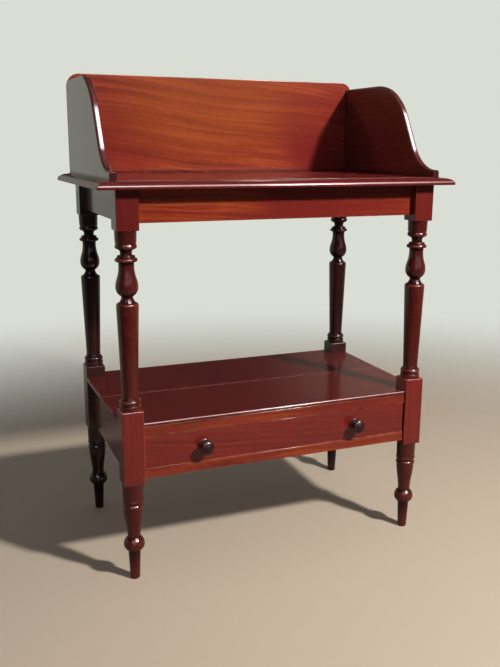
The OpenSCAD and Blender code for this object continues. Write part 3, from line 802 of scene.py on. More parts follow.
class NodeTool:
    """A Geometry Nodes tree of this script, with named inputs."""

    title = "tool"

    def __init__(self) -> None:
        """Builds the tree."""
        self.tree = bpy.data.node_groups.new(self.title, "GeometryNodeTree")
        self.graph = Graph(self.tree)
        self.keys: dict[str, str] = {}
        self._open("Shape", "NodeSocketGeometry")
        self.tree.interface.new_socket("Shape", in_out="OUTPUT", socket_type="NodeSocketGeometry")
        self._inputs()
        self.inlet = self.graph.add("NodeGroupInput")
        finished = self._steps()
        self.graph.add("NodeGroupOutput", None, {0: finished})

    def _open(self, name: str, kind: str) -> None:
        """Adds a named input to the tree."""
        socket = self.tree.interface.new_socket(name, in_out="INPUT", socket_type=kind)
        self.keys[name] = socket.identifier

    def _inputs(self) -> None:
        """Adds the tree's own inputs."""
        raise NotImplementedError

    def _steps(self) -> Signal:
        """Adds the tree's nodes and gives back the finished shape."""
        raise NotImplementedError

    def run(self, base: bpy.types.Mesh, **values: object) -> bpy.types.Mesh:
        """Runs the tree on a mesh.

        Args:
            base: The mesh that the tree starts from.
            values: The tree's inputs, with _ for a space in their names.

        Returns:
            The result as a plain mesh.
        """
        holder = bpy.data.objects.new(self.title, base)
        bpy.context.scene.collection.objects.link(holder)
        modifier = holder.modifiers.new(self.title, "NODES")
        modifier.node_group = self.tree
        for name, value in values.items():
            modifier[self.keys[name.replace("_", " ")]] = value
        graph = bpy.context.evaluated_depsgraph_get()
        made = bpy.data.meshes.new_from_object(
            holder.evaluated_get(graph), preserve_all_data_layers=True, depsgraph=graph)
        holder.modifiers.clear()
        bpy.data.objects.remove(holder)
        return made


class Turning(NodeTool):
    """Turns a half outline, a chain of points (radius, 0, height), round the Z axis."""

    title = "Turned work"
    merge = 1e-7

    def _inputs(self) -> None:
        """Number of flats round the work, and its finish."""
        self._open("Flats", "NodeSocketInt")
        self._open("Finish", "NodeSocketMaterial")

    def _steps(self) -> Signal:
        """A grid is bent round the axis, each row at the radius of its outline point.

        Returns:
            The turned shape.
        """
        graph = self.graph
        outline = self.inlet.out("Shape")
        flats = self.inlet.out("Flats")
        count = graph.add("GeometryNodeAttributeDomainSize", {"component": "MESH"},
                          {"Geometry": outline}, "Point Count")
        grid = graph.add("GeometryNodeMeshGrid", None, {
            "Size X": 1.0, "Size Y": 1.0, "Vertices X": flats + 1, "Vertices Y": count})
        index = graph.add("GeometryNodeInputIndex")
        column = (index / count).math("FLOOR")
        row = index - column * count
        angle = column * math.tau / flats
        point = graph.add("GeometryNodeSampleIndex",
                          {"data_type": "FLOAT_VECTOR", "domain": "POINT"},
                          {"Geometry": outline, "Value": graph.add("GeometryNodeInputPosition"),
                           "Index": row})
        parts = graph.add("ShaderNodeSeparateXYZ", None, {0: point})
        radius, height = parts.out("X"), parts.out("Z")
        bent = graph.vector(radius * angle.math("COSINE"), radius * angle.math("SINE"), height)
        shape = graph.add("GeometryNodeSetPosition", None, {"Geometry": grid, "Position": bent})
        number = {"data_type": "FLOAT", "domain": "POINT"}
        for name in ("groove", "crest"):
            stored = graph.add("GeometryNodeInputNamedAttribute", {"data_type": "FLOAT"},
                               {"Name": name})
            sampled = graph.add("GeometryNodeSampleIndex", number, {
                "Geometry": outline, "Value": stored, "Index": row})
            shape = graph.add("GeometryNodeStoreNamedAttribute", number, {
                "Geometry": shape, "Name": name, "Value": sampled})
        shape = graph.add("GeometryNodeMergeByDistance", None, {
            "Geometry": shape, "Distance": self.merge})
        shape = graph.add("GeometryNodeRealizeInstances", None, {"Geometry": shape})
        return graph.add("GeometryNodeSetMaterial", None, {
            "Geometry": shape, "Material": self.inlet.out("Finish")})


class ScrewSetter(NodeTool):
    """Sets a slotted countersunk screw at each point, driven along the point's "drive"."""

    title = "Slotted screws"
    flats = 32

    def _inputs(self) -> None:
        """Sizes of the screw, its finish and the seed of the slots' angles."""
        for name in ("Head radius", "Shank radius", "Length", "Slot width", "Slot depth"):
            self._open(name, "NodeSocketFloat")
        self._open("Seed", "NodeSocketInt")
        self._open("Finish", "NodeSocketMaterial")

    def _steps(self) -> Signal:
        """One screw is made along +Z from its slotted head and set on each point.

        Returns:
            The screws.
        """
        graph, inlet = self.graph, self.inlet
        head, shank = inlet.out("Head radius"), inlet.out("Shank radius")
        length = inlet.out("Length")
        taper = head - shank
        cone = graph.add("GeometryNodeMeshCone", {"fill_type": "NGON"}, {
            "Vertices": self.flats, "Radius Top": shank, "Radius Bottom": head, "Depth": taper})
        stem = graph.add("GeometryNodeMeshCylinder", {"fill_type": "NGON"}, {
            "Vertices": self.flats, "Radius": shank, "Depth": length - taper})
        middle = graph.vector(0.0, 0.0, taper + (length - taper) * 0.5)
        stem = graph.add("GeometryNodeTransform", None, {"Geometry": stem, "Translation": middle})
        size = graph.vector(head * 3.0, inlet.out("Slot width"), inlet.out("Slot depth") * 2.0)
        slot = graph.add("GeometryNodeMeshCube", None, {"Size": size})
        cut = graph.add("GeometryNodeMeshBoolean", {"operation": "DIFFERENCE"}, {
            "Mesh 1": cone, "Mesh 2": slot})
        screw = graph.add("GeometryNodeJoinGeometry", None, {0: cut})
        graph.feed(screw.socket.node.inputs[0], stem)
        drive = graph.add("GeometryNodeInputNamedAttribute", {"data_type": "FLOAT_VECTOR"},
                          {"Name": "drive"})
        aim = graph.add("FunctionNodeAlignRotationToVector", {"axis": "Z"}, {"Vector": drive})
        twist = graph.add("FunctionNodeRandomValue", {"data_type": "FLOAT"},
                          {"Min": 0.0, "Max": math.pi, "Seed": inlet.out("Seed")}, 1)
        spin = graph.add("FunctionNodeAxisAngleToRotation", None, {
            "Axis": (0.0, 0.0, 1.0), "Angle": twist})
        turn = graph.add("FunctionNodeRotateRotation", {"rotation_space": "LOCAL"},
                         {"Rotation": aim, "Rotate By": spin})
        placed = graph.add("GeometryNodeInstanceOnPoints", None, {
            "Points": inlet.out("Shape"), "Instance": screw, "Rotation": turn})
        real = graph.add("GeometryNodeRealizeInstances", None, {"Geometry": placed})
        return graph.add("GeometryNodeSetMaterial", None, {
            "Geometry": real, "Material": inlet.out("Finish")})


# Mesh work


def piece_from(mesh: bpy.types.Mesh, name: str, material: bpy.types.Material,
               body: str, nodes: Sequence[str], sharp: float = 32.0) -> bpy.types.Object:
    """Makes a finished mesh a piece of the object.

    Args:
        mesh: The mesh, in place.
        name: The piece's name.
        material: Its finish.
        body: The body that it moves with.
        nodes: The CAD nodes that it stands for.
        sharp: The angle in degrees past which an edge stays sharp.

    Returns:
        The piece.
    """
    mesh.name = name
    mesh.materials.clear()
    mesh.materials.append(material)
    mesh.shade_smooth()
    mesh.set_sharp_from_angle(angle=math.radians(sharp))
    piece = bpy.data.objects.new(name, mesh)
    bpy.context.scene.collection.objects.link(piece)
    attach(piece, body)
    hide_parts(*nodes)
    LOG.info("%s: %d faces, on %s, for %s", name, len(mesh.polygons), body, ", ".join(nodes))
    return piece


def even_shading(piece: bpy.types.Object) -> None:
    """Keeps large flats flat next to their rounded arrises."""
    modifier = piece.modifiers.new("Even shading", "WEIGHTED_NORMAL")
    modifier.keep_sharp = True


def round_arris(bm: bmesh.types.BMesh, width: float, shortest: float = 0.0,
                chosen: Callable[[bmesh.types.BMEdge], bool] | None = None,
                steps: int = 3) -> None:
    """Rounds the sharp outer edges of a mesh.

    Args:
        bm: The mesh.
        width: Width of the rounding.
        shortest: Edges shorter than this stay as they are.
        chosen: A further test of an edge.
        steps: Number of flats of the rounding.
    """
    edges = [edge for edge in bm.edges
             if len(edge.link_faces) == 2 and edge.is_convex and edge.calc_length() >= shortest
             and edge.calc_face_angle(0.0) > SHARP_ARRIS
             and (chosen is None or chosen(edge))]
    bmesh.ops.bevel(bm, geom=edges, offset=width, offset_type="OFFSET", segments=steps,
                    profile=0.5, affect="EDGES", clamp_overlap=True)


def finished_mesh(bm: bmesh.types.BMesh, name: str) -> bpy.types.Mesh:
    """Closes a bmesh and turns its faces outwards.

    Args:
        bm: The bmesh, which is freed.
        name: The name of the mesh.

    Returns:
        The mesh.
    """
    bmesh.ops.remove_doubles(bm, verts=bm.verts, dist=SNAP)
    bmesh.ops.recalc_face_normals(bm, faces=bm.faces)
    mesh = bpy.data.meshes.new(name)
    bm.to_mesh(mesh)
    bm.free()
    return mesh


def copied_node(node: str) -> bmesh.types.BMesh:
    """Copies a CAD node and merges it, with each flat one face where it can be.

    Args:
        node: The node's name.

    Returns:
        The copy.
    """
    bm = bmesh.new()
    bm.from_mesh(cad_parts[node].data)
    bmesh.ops.remove_doubles(bm, verts=bm.verts, dist=2 * SNAP)
    bmesh.ops.dissolve_limit(bm, angle_limit=FLAT_ANGLE, verts=bm.verts, edges=bm.edges)
    return bm


def slab(outline: Sequence[Pair], axis: str, low: float, high: float,
         rim: float) -> bmesh.types.BMesh:
    """A flat board with any outline, and the attribute "rim" that falls off from its edge.

    Args:
        outline: The outline in the plane of the two other axes, in their order.
        axis: The axis through the board.
        low: Where the board starts on that axis.
        high: Where it ends.
        rim: Width of the strip in which the attribute falls off.

    Returns:
        The board as a closed bmesh.
    """
    def point(pair: Pair, level: float) -> Vector:
        """A point of the outline at a level."""
        first, second = pair
        return Vector({"x": (level, first, second), "y": (first, level, second),
                       "z": (first, second, level)}[axis])

    bm = bmesh.new()
    layer = bm.verts.layers.float.new("rim")
    rings = [[bm.verts.new(point(pair, level)) for pair in outline] for level in (low, high)]
    caps = [bm.faces.new(ring) for ring in rings]
    for i, start in enumerate(rings[0]):
        j = (i + 1) % len(outline)
        bm.faces.new((start, rings[0][j], rings[1][j], rings[1][i]))
    bmesh.ops.recalc_face_normals(bm, faces=bm.faces)
    for vert in bm.verts:
        vert[layer] = 1.0
    for cap in caps:
        bmesh.ops.inset_region(bm, faces=[cap], thickness=rim, use_even_offset=True)
        for vert in cap.verts:
            vert[layer] = 0.0
    return bm


def arc(centre: Pair, radius: float, start: float, end: float, steps: int) -> list[Pair]:
    """Pairs on an arc, angles in degrees from the first axis."""
    return [(centre[0] + radius * math.cos(math.radians(angle)),
             centre[1] + radius * math.sin(math.radians(angle)))
            for angle in np.linspace(start, end, steps + 1)]


# Turned work


def between(z: np.ndarray, low: float, high: float, radius: np.ndarray) -> np.ndarray:
    """The radius at heights from low to high, and -1 elsewhere."""
    return np.where((z >= low) & (z <= high), radius, -1.0)


@dataclass(frozen=True)
class Cone:
    """A straight or tapering length of turned work, in millimetres."""

    low: float
    low_r: float
    high: float
    high_r: float

    def reach(self, z: np.ndarray) -> np.ndarray:
        """Its radius at each height, or -1 where it isn't."""
        share = (z - self.low) / (self.high - self.low)
        return between(z, self.low, self.high, self.low_r + share * (self.high_r - self.low_r))


@dataclass(frozen=True)
class Bead:
    """A rounded ring: the height of its middle, its outer radius and its rounding."""

    middle: float
    outer: float
    rounding: float

    def reach(self, z: np.ndarray) -> np.ndarray:
        """Its radius at each height, or -1 where it isn't."""
        rise = self.rounding ** 2 - (z - self.middle) ** 2
        return np.where(rise >= 0, self.outer - self.rounding + np.sqrt(np.maximum(rise, 0)), -1.0)


@dataclass(frozen=True)
class Swell:
    """One side of a large curve: round from its widest place, up or down."""

    low: float
    high: float
    middle: float
    outer: float
    rounding: float

    def reach(self, z: np.ndarray) -> np.ndarray:
        """Its radius at each height, or -1 where it isn't."""
        return between(z, self.low, self.high, Bead(self.middle, self.outer, self.rounding).reach(z))


@dataclass(frozen=True)
class Flare:
    """A length that widens in a smooth S, from one end's radius to the other's."""

    low: float
    low_r: float
    high: float
    high_r: float

    def reach(self, z: np.ndarray) -> np.ndarray:
        """Its radius at each height, or -1 where it isn't."""
        share = (z - self.low) / (self.high - self.low)
        return between(z, self.low, self.high,
                       self.low_r + (self.high_r - self.low_r) * share ** 2 * (3 - 2 * share))


@dataclass(frozen=True)
class Hollow:
    """A hollow curve round its narrowest place."""

    low: float
    high: float
    waist: float
    waist_r: float
    rounding: float

    def reach(self, z: np.ndarray) -> np.ndarray:
        """Its radius at each height, or -1 where it isn't."""
        drop = np.sqrt(np.maximum(self.rounding ** 2 - (z - self.waist) ** 2, 0))
        return between(z, self.low, self.high, self.waist_r + self.rounding - drop)


@dataclass(frozen=True)
class Outline:
    """The half outline of one length of turned work, as overlapping forms in millimetres.

    A groove is marked in full where it is groove_depth lower than the work near it, and a crest
    where it stands crest_height over the average near it.
    """

    forms: tuple[Union[Cone, Bead, Swell, Flare, Hollow], ...]
    low: float
    high: float
    closed_low: bool = False
    closed_high: bool = False
    step: float = 0.1
    slack: float = 0.02
    near: float = 5.0
    groove_depth: float = 4.0
    crest_height: float = 1.6
    foot_groove: float = 0.2
    sanded: float = 0.35

    def mesh(self) -> bpy.types.Mesh:
        """The outline as a chain of points with the attributes "groove" and "crest".

        Returns:
            A mesh of points (radius, 0, height) in metres.
        """
        z = np.arange(self.low, self.high + self.step / 2, self.step)
        radius = self._sanded(np.max([form.reach(z) for form in self.forms], axis=0))
        window = int(self.near / self.step)
        padded = np.pad(radius, window, mode="edge")
        around = np.lib.stride_tricks.sliding_window_view(padded, 2 * window + 1)
        groove = np.clip((around.max(axis=1) - radius) / self.groove_depth, 0, 1)
        crest = np.clip((radius - around.mean(axis=1)) / self.crest_height, 0, 1)
        keep = self._kept(z, radius)
        points = [(radius[i] * MM, 0.0, z[i] * MM) for i in keep]
        marks = [(groove[i], crest[i]) for i in keep]
        if self.closed_low:
            points.insert(0, (0.0, 0.0, self.low * MM))
            marks.insert(0, (self.foot_groove, 0.0))
        if self.closed_high:
            points.append((0.0, 0.0, self.high * MM))
            marks.append((0.0, 0.0))
        mesh = bpy.data.meshes.new("outline")
        mesh.from_pydata(points, [(i, i + 1) for i in range(len(points) - 1)], [])
        for column, name in enumerate(("groove", "crest")):
            layer = mesh.attributes.new(name, "FLOAT", "POINT")
            layer.data.foreach_set("value", [mark[column] for mark in marks])
        return mesh

    def _sanded(self, radius: np.ndarray) -> np.ndarray:
        """Softens the outline's corners, as sanding and polish leave them.

        Args:
            radius: The radius at each step.

        Returns:
            The softened radius.
        """
        reach = int(3 * self.sanded / self.step)
        kernel = np.exp(-0.5 * (np.arange(-reach, reach + 1) * self.step / self.sanded) ** 2)
        padded = np.pad(radius, reach, mode="edge")
        return np.convolve(padded, kernel / kernel.sum(), mode="valid")

    def _kept(self, z: np.ndarray, radius: np.ndarray) -> list[int]:
        """Picks the fewest points that keep the outline within its slack.

        Args:
            z: The height at each step.
            radius: The radius at each step.

        Returns:
            The steps that stay.
        """
        keep, spans = {0, len(z) - 1}, [(0, len(z) - 1)]
        while spans:
            first, last = spans.pop()
            if last - first < 2:
                continue
            run = np.array([z[last] - z[first], radius[last] - radius[first]])
            away = np.abs(run[1] * (z[first:last + 1] - z[first])
                          - run[0] * (radius[first:last + 1] - radius[first])) / np.hypot(*run)
            worst = int(np.argmax(away))
            if away[worst] > self.slack:
                keep.add(first + worst)
                spans += [(first, first + worst), (first + worst, last)]
        return sorted(keep)


@dataclass
class Legs:
    """The four turned legs, each a square post with its turning under, between and over blocks.

    Sizes are in millimetres. A z is a height over the floor, a drop goes down from the block over
    the turning, and a rise goes up from the block under it. Neighbouring forms overlap by past,
    and a core stops short of the end of its bead by waist.
    """

    turning: Turning
    flats: int = 72
    past: float = 1.0
    waist: float = 0.2
    arris: float = 1.8
    arris_steps: int = 4
    block_rim: float = 2.5
    least_flat: float = 100.0
    block_crest: float = 0.8
    # Painted shade: the head blocks are darkened for the shade under the top, and the feet less than
    # the rest of the turning.
    head_painted_shade: float = 0.38
    foot_painted_shade: float = 0.86

    low_block_z: float = 190.0
    low_block_top: float = 329.0
    head_z: float = 646.5

    foot_r: float = 8.9
    foot_ease: float = 1.5
    foot_top_r: float = 11.8
    ball_z: float = 69.5
    ball_r: float = 19.4
    ball_low_round: float = 14.0
    ball_high_round: float = 17.5
    ankle_r: float = 12.1
    ankle_z: float = 86.0
    ankle_drop: float = 50.0
    ankle_top_r: float = 17.5
    ring_low_drop: float = 44.5
    ring_high_drop: float = 33.5
    ring_r: float = 19.3
    ring_round: float = 5.0
    collar_r: float = 18.4
    collar_top_r: float = 19.1

    base_collar_h: float = 9.0
    base_fillet_r: float = 16.8
    base_ring_rise: float = 14.9
    taper_rise: float = 25.0
    taper_low_r: float = 14.4
    taper_high_r: float = 19.6
    taper_drop: float = 129.0
    shoulder_round: float = 4.6
    low_bead_drop: float = 119.5
    low_bead_r: float = 11.8
    small_round: float = 2.2
    vase_foot_r: float = 10.4
    vase_drop: float = 97.0
    vase_r: float = 19.7
    vase_low_round: float = 18.3
    vase_high_round: float = 42.0
    vase_high_h: float = 14.3
    vase_neck_r: float = 13.5
    vase_neck_drop: float = 60.5
    vase_neck_round: float = 68.6
    vase_ring_drop: float = 50.2
    vase_ring_round: float = 3.4
    high_bead_drop: float = 44.5
    high_bead_r: float = 15.8
    neck_r: float = 10.3
    neck_drop: float = 35.2
    collar_bead_drop: float = 27.0
    collar_bead_r: float = 19.0
    collar_bead_round: float = 4.6
    collar_groove_r: float = 17.6
    collar_drop: float = 21.0

    def _under(self) -> Outline:
        """The foot, ball, ankle, two rings and collar under the low block.

        Returns:
            The outline.
        """
        top, ball = self.low_block_z, self.ball_z
        ankle_top = top - self.ankle_drop
        low_ring, high_ring = top - self.ring_low_drop, top - self.ring_high_drop
        return Outline((
            Cone(0.0, self.foot_r - self.foot_ease, self.foot_ease, self.foot_r),
            Cone(self.foot_ease, self.foot_r, ball, self.foot_top_r),
            Swell(ball - self.ball_low_round, ball, ball, self.ball_r, self.ball_low_round),
            Swell(ball, ball + self.ball_high_round, ball, self.ball_r, self.ball_high_round),
            Cone(ball, self.ankle_r, self.ankle_z, self.ankle_r),
            Flare(self.ankle_z, self.ankle_r, ankle_top, self.ankle_top_r),
            Cone(ankle_top - self.waist, self.ankle_top_r, high_ring, self.ankle_top_r),
            Bead(low_ring, self.ring_r, self.ring_round),
            Bead(high_ring, self.ring_r, self.ring_round),
            Cone(high_ring, self.collar_r, top + self.past, self.collar_top_r)),
            0.0, top + 2 * self.waist, closed_low=True)

    def _over(self) -> Outline:
        """The turning from the low block's base ring to the collar under the head block.

        Returns:
            The outline.
        """
        low, head = self.low_block_top, self.head_z
        return Outline(
            self._shaft(low, head - self.taper_drop)
            + self._vase(head - self.taper_drop, head - self.vase_drop, head - self.vase_ring_drop)
            + self._neck(head - self.vase_ring_drop, head),
            low - 2 * self.waist, head + 2 * self.waist)

    def _shaft(self, low: float, top: float) -> tuple[Union[Cone, Bead], ...]:
        """The base ring and the long taper.

        Args:
            low: The top of the low block.
            top: The top of the taper.

        Returns:
            The forms.
        """
        ring, start = low + self.base_ring_rise, low + self.taper_rise
        return (
            Cone(low - self.past, self.collar_top_r, low + self.base_collar_h, self.collar_top_r),
            Cone(low, self.base_fillet_r, ring + self.waist, self.base_fillet_r),
            Bead(ring, self.ring_r, self.ring_round),
            Cone(ring + self.waist, self.base_fillet_r, start, self.taper_low_r),
            Cone(start, self.taper_low_r, top, self.taper_high_r),
            Bead(top, self.taper_high_r, self.shoulder_round))

    def _vase(self, shoulder: float, vase: float,
              ring: float) -> tuple[Union[Cone, Bead, Swell, Hollow], ...]:
        """The small bead over the taper, and the vase with its hollow neck.

        Args:
            shoulder: The top of the taper.
            vase: The widest place of the vase.
            ring: The middle of the ring over it.

        Returns:
            The forms.
        """
        bead, neck = self.head_z - self.low_bead_drop, self.head_z - self.vase_neck_drop
        core_r, end = self.taper_high_r - self.shoulder_round, shoulder + self.shoulder_round
        return (
            Cone(shoulder, core_r, end, core_r),
            Cone(end, core_r, bead, self.low_bead_r - self.waist),
            Bead(bead, self.low_bead_r, self.small_round),
            Cone(bead, self.vase_foot_r, vase, self.vase_foot_r),
            Swell(vase - self.vase_low_round, vase, vase, self.vase_r, self.vase_low_round),
            Swell(vase, vase + self.vase_high_h, vase, self.vase_r, self.vase_high_round),
            Hollow(vase + self.vase_high_h, ring, neck, self.vase_neck_r, self.vase_neck_round))

    def _neck(self, ring: float, head: float) -> tuple[Union[Cone, Bead], ...]:
        """The ring over the vase, the bead, the neck and the collar.

        Args:
            ring: The middle of the ring.
            head: The bottom of the head block.

        Returns:
            The forms.
        """
        bead, collar = head - self.high_bead_drop, head - self.collar_bead_drop
        ring_core = self.taper_high_r - self.vase_ring_round
        bead_core = self.high_bead_r - self.small_round
        flare = collar - self.collar_bead_round
        flare_r = self.collar_bead_r - self.collar_bead_round
        return (
            Bead(ring, self.taper_high_r, self.vase_ring_round),
            Cone(ring, ring_core, ring + self.vase_ring_round - self.waist, ring_core),
            Cone(ring + self.vase_ring_round - self.waist, ring_core, bead - self.waist, bead_core),
            Cone(bead - self.waist, bead_core, bead + self.small_round - self.waist, bead_core),
            Bead(bead, self.high_bead_r, self.small_round),
            Cone(bead, self.neck_r, head - self.neck_drop, self.neck_r),
            Cone(head - self.neck_drop, self.neck_r, flare + self.waist, flare_r),
            Cone(flare + self.waist, flare_r, collar, self.collar_groove_r),
            Cone(collar, self.collar_groove_r, head - self.collar_drop, self.collar_groove_r),
            Bead(collar, self.collar_bead_r, self.collar_bead_round),
            Cone(head - self.collar_drop, self.collar_r, head + self.past, self.collar_top_r))

    def build(self) -> None:
        """Makes and dresses the four legs."""
        nodes = [f"leg_{row}_{side}" for row in ("front", "back") for side in ("left", "right")]
        for number, node in enumerate(nodes, 1):
            low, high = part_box(node)
            cut = Cut(low, high, Grain.POST, 11.3 * number, pith=(0.006, 0.034), slope=0.015,
                      work=Work.TURNED)
            # The back legs wear the red finish with painted shade.
            wood = SHADED_RED if "back" in node else RED
            finish = wood.material(node, cut)
            bm = self._turned(finish)
            bmesh.ops.translate(bm, verts=bm.verts, vec=(*cut.middle.xy, 0.0))
            # The low block gets no painted shade, the head block its own.
            for bottom, top, shade in ((self.low_block_z * MM, self.low_block_top * MM, 0.0),
                                       (self.head_z * MM, high.z, self.head_painted_shade)):
                bm.from_mesh(self._block(Vector((low.x, low.y, bottom)),
                                         Vector((high.x, high.y, top)), shade))
            mesh = bpy.data.meshes.new(node)
            bm.to_mesh(mesh)
            bm.free()
            even_shading(piece_from(mesh, f"{node}_turned", finish, STAND, [node]))

    def _turned(self, finish: bpy.types.Material) -> bmesh.types.BMesh:
        """Turns the lengths under and over the low block, round the Z axis.

        Args:
            finish: The leg's finish.

        Returns:
            The turned work, with the attribute "shade" that says how much painted shade it gets.
        """
        bm = bmesh.new()
        for outline in (self._under(), self._over()):
            bm.from_mesh(self.turning.run(outline.mesh(), Flats=self.flats, Finish=finish))
        # Painted shade over the whole turning, less on the feet.
        shade = bm.verts.layers.float.new("shade")
        for vert in bm.verts:
            vert[shade] = 1.0 if vert.co.z > self.low_block_z * MM else self.foot_painted_shade
        return bm

    def _block(self, low: Vector, high: Vector, shade: float) -> bpy.types.Mesh:
        """A square block with rounded arrises, which are marked as rubbed.

        Args:
            low: The block's lowest corner.
            high: Its highest corner.
            shade: Its attribute "shade", how much painted shade it gets.

        Returns:
            The block.
        """
        block = bmesh.new()
        bmesh.ops.create_cube(block, size=1.0, matrix=Matrix.Translation((low + high) / 2)
                              @ Matrix.Diagonal((*(high - low), 1.0)))
        crest, _, shading = (block.verts.layers.float.new(name)
                             for name in ("crest", "groove", "shade"))
        round_arris(block, self.arris * MM, steps=self.arris_steps)
        for face in self._flats(block):
            bmesh.ops.inset_region(block, faces=[face], thickness=self.block_rim * MM,
                                   use_even_offset=True)
        flat = {vert for face in self._flats(block) for vert in face.verts}
        for vert in block.verts:
            vert[crest] = 0.0 if vert in flat else self.block_crest
            vert[shading] = shade
        mesh = bpy.data.meshes.new("block")
        block.to_mesh(mesh)
        block.free()
        return mesh

    def _flats(self, block: bmesh.types.BMesh) -> list[bmesh.types.BMFace]:
        """The large faces of a block."""
        return [face for face in block.faces if face.calc_area() > self.least_flat * MM * MM]


@dataclass
class Knobs:
    """The two turned knobs of the drawer, in millimetres from the drawer's face."""

    turning: Turning
    flats: int = 64
    head_r: float = 13.0
    rim_round: float = 4.5
    rim_drop: float = 7.0
    dome: float = 15.7
    base_r: float = 12.0
    base_t: float = 4.0
    neck_r: float = 6.5
    hollow: float = 5.5
    spigot_r: float = 5.5
    spigot_l: float = 19.0
    spigot_out: float = 1.0

    def _outline(self, standing: float) -> Outline:
        """The knob from its spigot and base collar to its domed face.

        Args:
            standing: How far it stands out from the drawer.

        Returns:
            The outline.
        """
        rim, half = standing - self.rim_drop, self.base_t / 2
        return Outline((
            Cone(-self.spigot_l, self.spigot_r, self.spigot_out, self.spigot_r),
            Cone(0.0, self.base_r - half, self.base_t, self.base_r - half),
            Bead(half, self.base_r, half), Cone(0.0, self.neck_r, rim, self.neck_r),
            Hollow(rim - self.hollow, rim, rim - self.hollow, self.neck_r, self.hollow),
            Bead(rim, self.head_r, self.rim_round),
            Swell(rim + self.rim_round, standing, standing - self.dome, self.dome, self.dome)),
            -self.spigot_l, standing, closed_low=True, closed_high=True, slack=0.012, sanded=0.2)

    def build(self) -> None:
        """Makes and dresses both knobs."""
        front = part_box("drawer_front")[0].y
        finish = DarkKnobWood()
        for node in ("knob_left", "knob_right"):
            low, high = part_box(node)
            centre = Vector(((low.x + high.x) / 2, low.y, (low.z + high.z) / 2))
            material = finish.material(node, centre)
            outline = self._outline((front - low.y) / MM)
            mesh = self.turning.run(outline.mesh(), Flats=self.flats, Finish=material)
            mesh.transform(Matrix.Translation((centre.x, front, centre.z))
                           @ Matrix.Rotation(math.radians(90), 4, "X"))
            piece_from(mesh, f"{node}_turned", material, DRAWER, [node], sharp=50)


# Boards


def add_board(bm: bmesh.types.BMesh, node: str, ending: str, wood: Wood, cut: Cut,
              body: str = STAND, label: str = "") -> None:
    """Closes a board, dresses it and makes it a piece.

    Args:
        bm: The board.
        node: The CAD node that it stands for.
        ending: What its name has after the node's.
        wood: Its finish.
        cut: How it was cut.
        body: The body that it moves with.
        label: The material's ending, if it isn't the node's name.
    """
    mesh = finished_mesh(bm, node)
    material = wood.material(label or node, cut)
    even_shading(piece_from(mesh, f"{node}_{ending}", material, body, [node]))


@dataclass
class TopBoard:
    """The top with its thumb moulding round the front and the ends, in millimetres."""

    mould: float = 22.0
    lip: float = 2.2
    lip_round: float = 7.0
    turn: float = 55.0
    step: float = 1.2
    arris: float = 0.7
    bed_arris: float = 0.5
    corner: float = 2.2
    curve_steps: int = 14
    arris_steps: int = 3
    corner_steps: int = 5
    merge: float = 1e-4
    darkening: Pair = (12.0, 1.0)

    def _section(self, thickness: float) -> list[Pair]:
        """The moulded edge.

        Args:
            thickness: The board's thickness.

        Returns:
            Points, each a distance in from the edge and a height.
        """
        crest, turn = thickness - self.step, math.radians(self.turn)
        lower = arc((self.arris, self.arris), self.arris, 270.0, 180.0, self.arris_steps)
        nose = arc((self.lip_round, self.lip), self.lip_round, 180.0, 180.0 - self.turn,
                   self.curve_steps)
        sweep = (crest - nose[-1][1]) / (1 - math.sin(turn))
        middle = nose[-1][0] + sweep * math.cos(turn)
        back = arc((middle, crest - sweep), sweep, 180.0 - self.turn, 90.0, self.curve_steps)[1:]
        inner = arc((self.mould + self.bed_arris, thickness - self.bed_arris), self.bed_arris,
                    180.0, 90.0, self.arris_steps)
        return [*lower, *nose, *back, (self.mould, crest), *inner]

    def _path(self, low: Vector, high: Vector, inward: float) -> list[Pair]:
        """The way round the board, from one back corner to the other.

        Args:
            low: The board's lowest corner.
            high: Its highest corner.
            inward: Distance in from the moulded edges, in metres.

        Returns:
            Points across and along the board.
        """
        corner = self.corner * MM
        inner, shift = max(corner - inward, 0.0), max(inward, corner)
        left, right, front = low.x + shift, high.x - shift, low.y + shift
        return [(low.x + inward, high.y),
                *arc((left, front), inner, 180.0, 270.0, self.corner_steps),
                *arc((right, front), inner, 270.0, 360.0, self.corner_steps),
                (high.x - inward, high.y)]

    def build(self) -> None:
        """Makes and dresses the top."""
        low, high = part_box("top_board")
        bm = bmesh.new()
        loops = [[bm.verts.new((x, y, low.z + height * MM))
                  for x, y in self._path(low, high, inward * MM)]
                 for inward, height in self._section((high.z - low.z) / MM)]
        for lower, upper in zip(loops, loops[1:]):
            for i, start in enumerate(lower):
                j = (i + 1) % len(lower)
                bm.faces.new((start, lower[j], upper[j], upper[i]))
        bm.faces.new(loops[0])
        bm.faces.new(loops[-1])
        bmesh.ops.remove_doubles(bm, verts=bm.verts, dist=self.merge * MM)
        bmesh.ops.dissolve_degenerate(bm, edges=bm.edges, dist=self.merge * MM)
        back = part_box("splash_board")[0].y
        cut = Cut(low, high, Grain.LONG_FLAT, 4.1, pith=(0.06, 0.13), slope=0.05,
                  work=Work.MOULDED, darkening=(Line("y", *(back - away * MM for away in self.darkening)),))
        add_board(bm, "top_board", "moulded", BOARD_RED, cut, label="top")


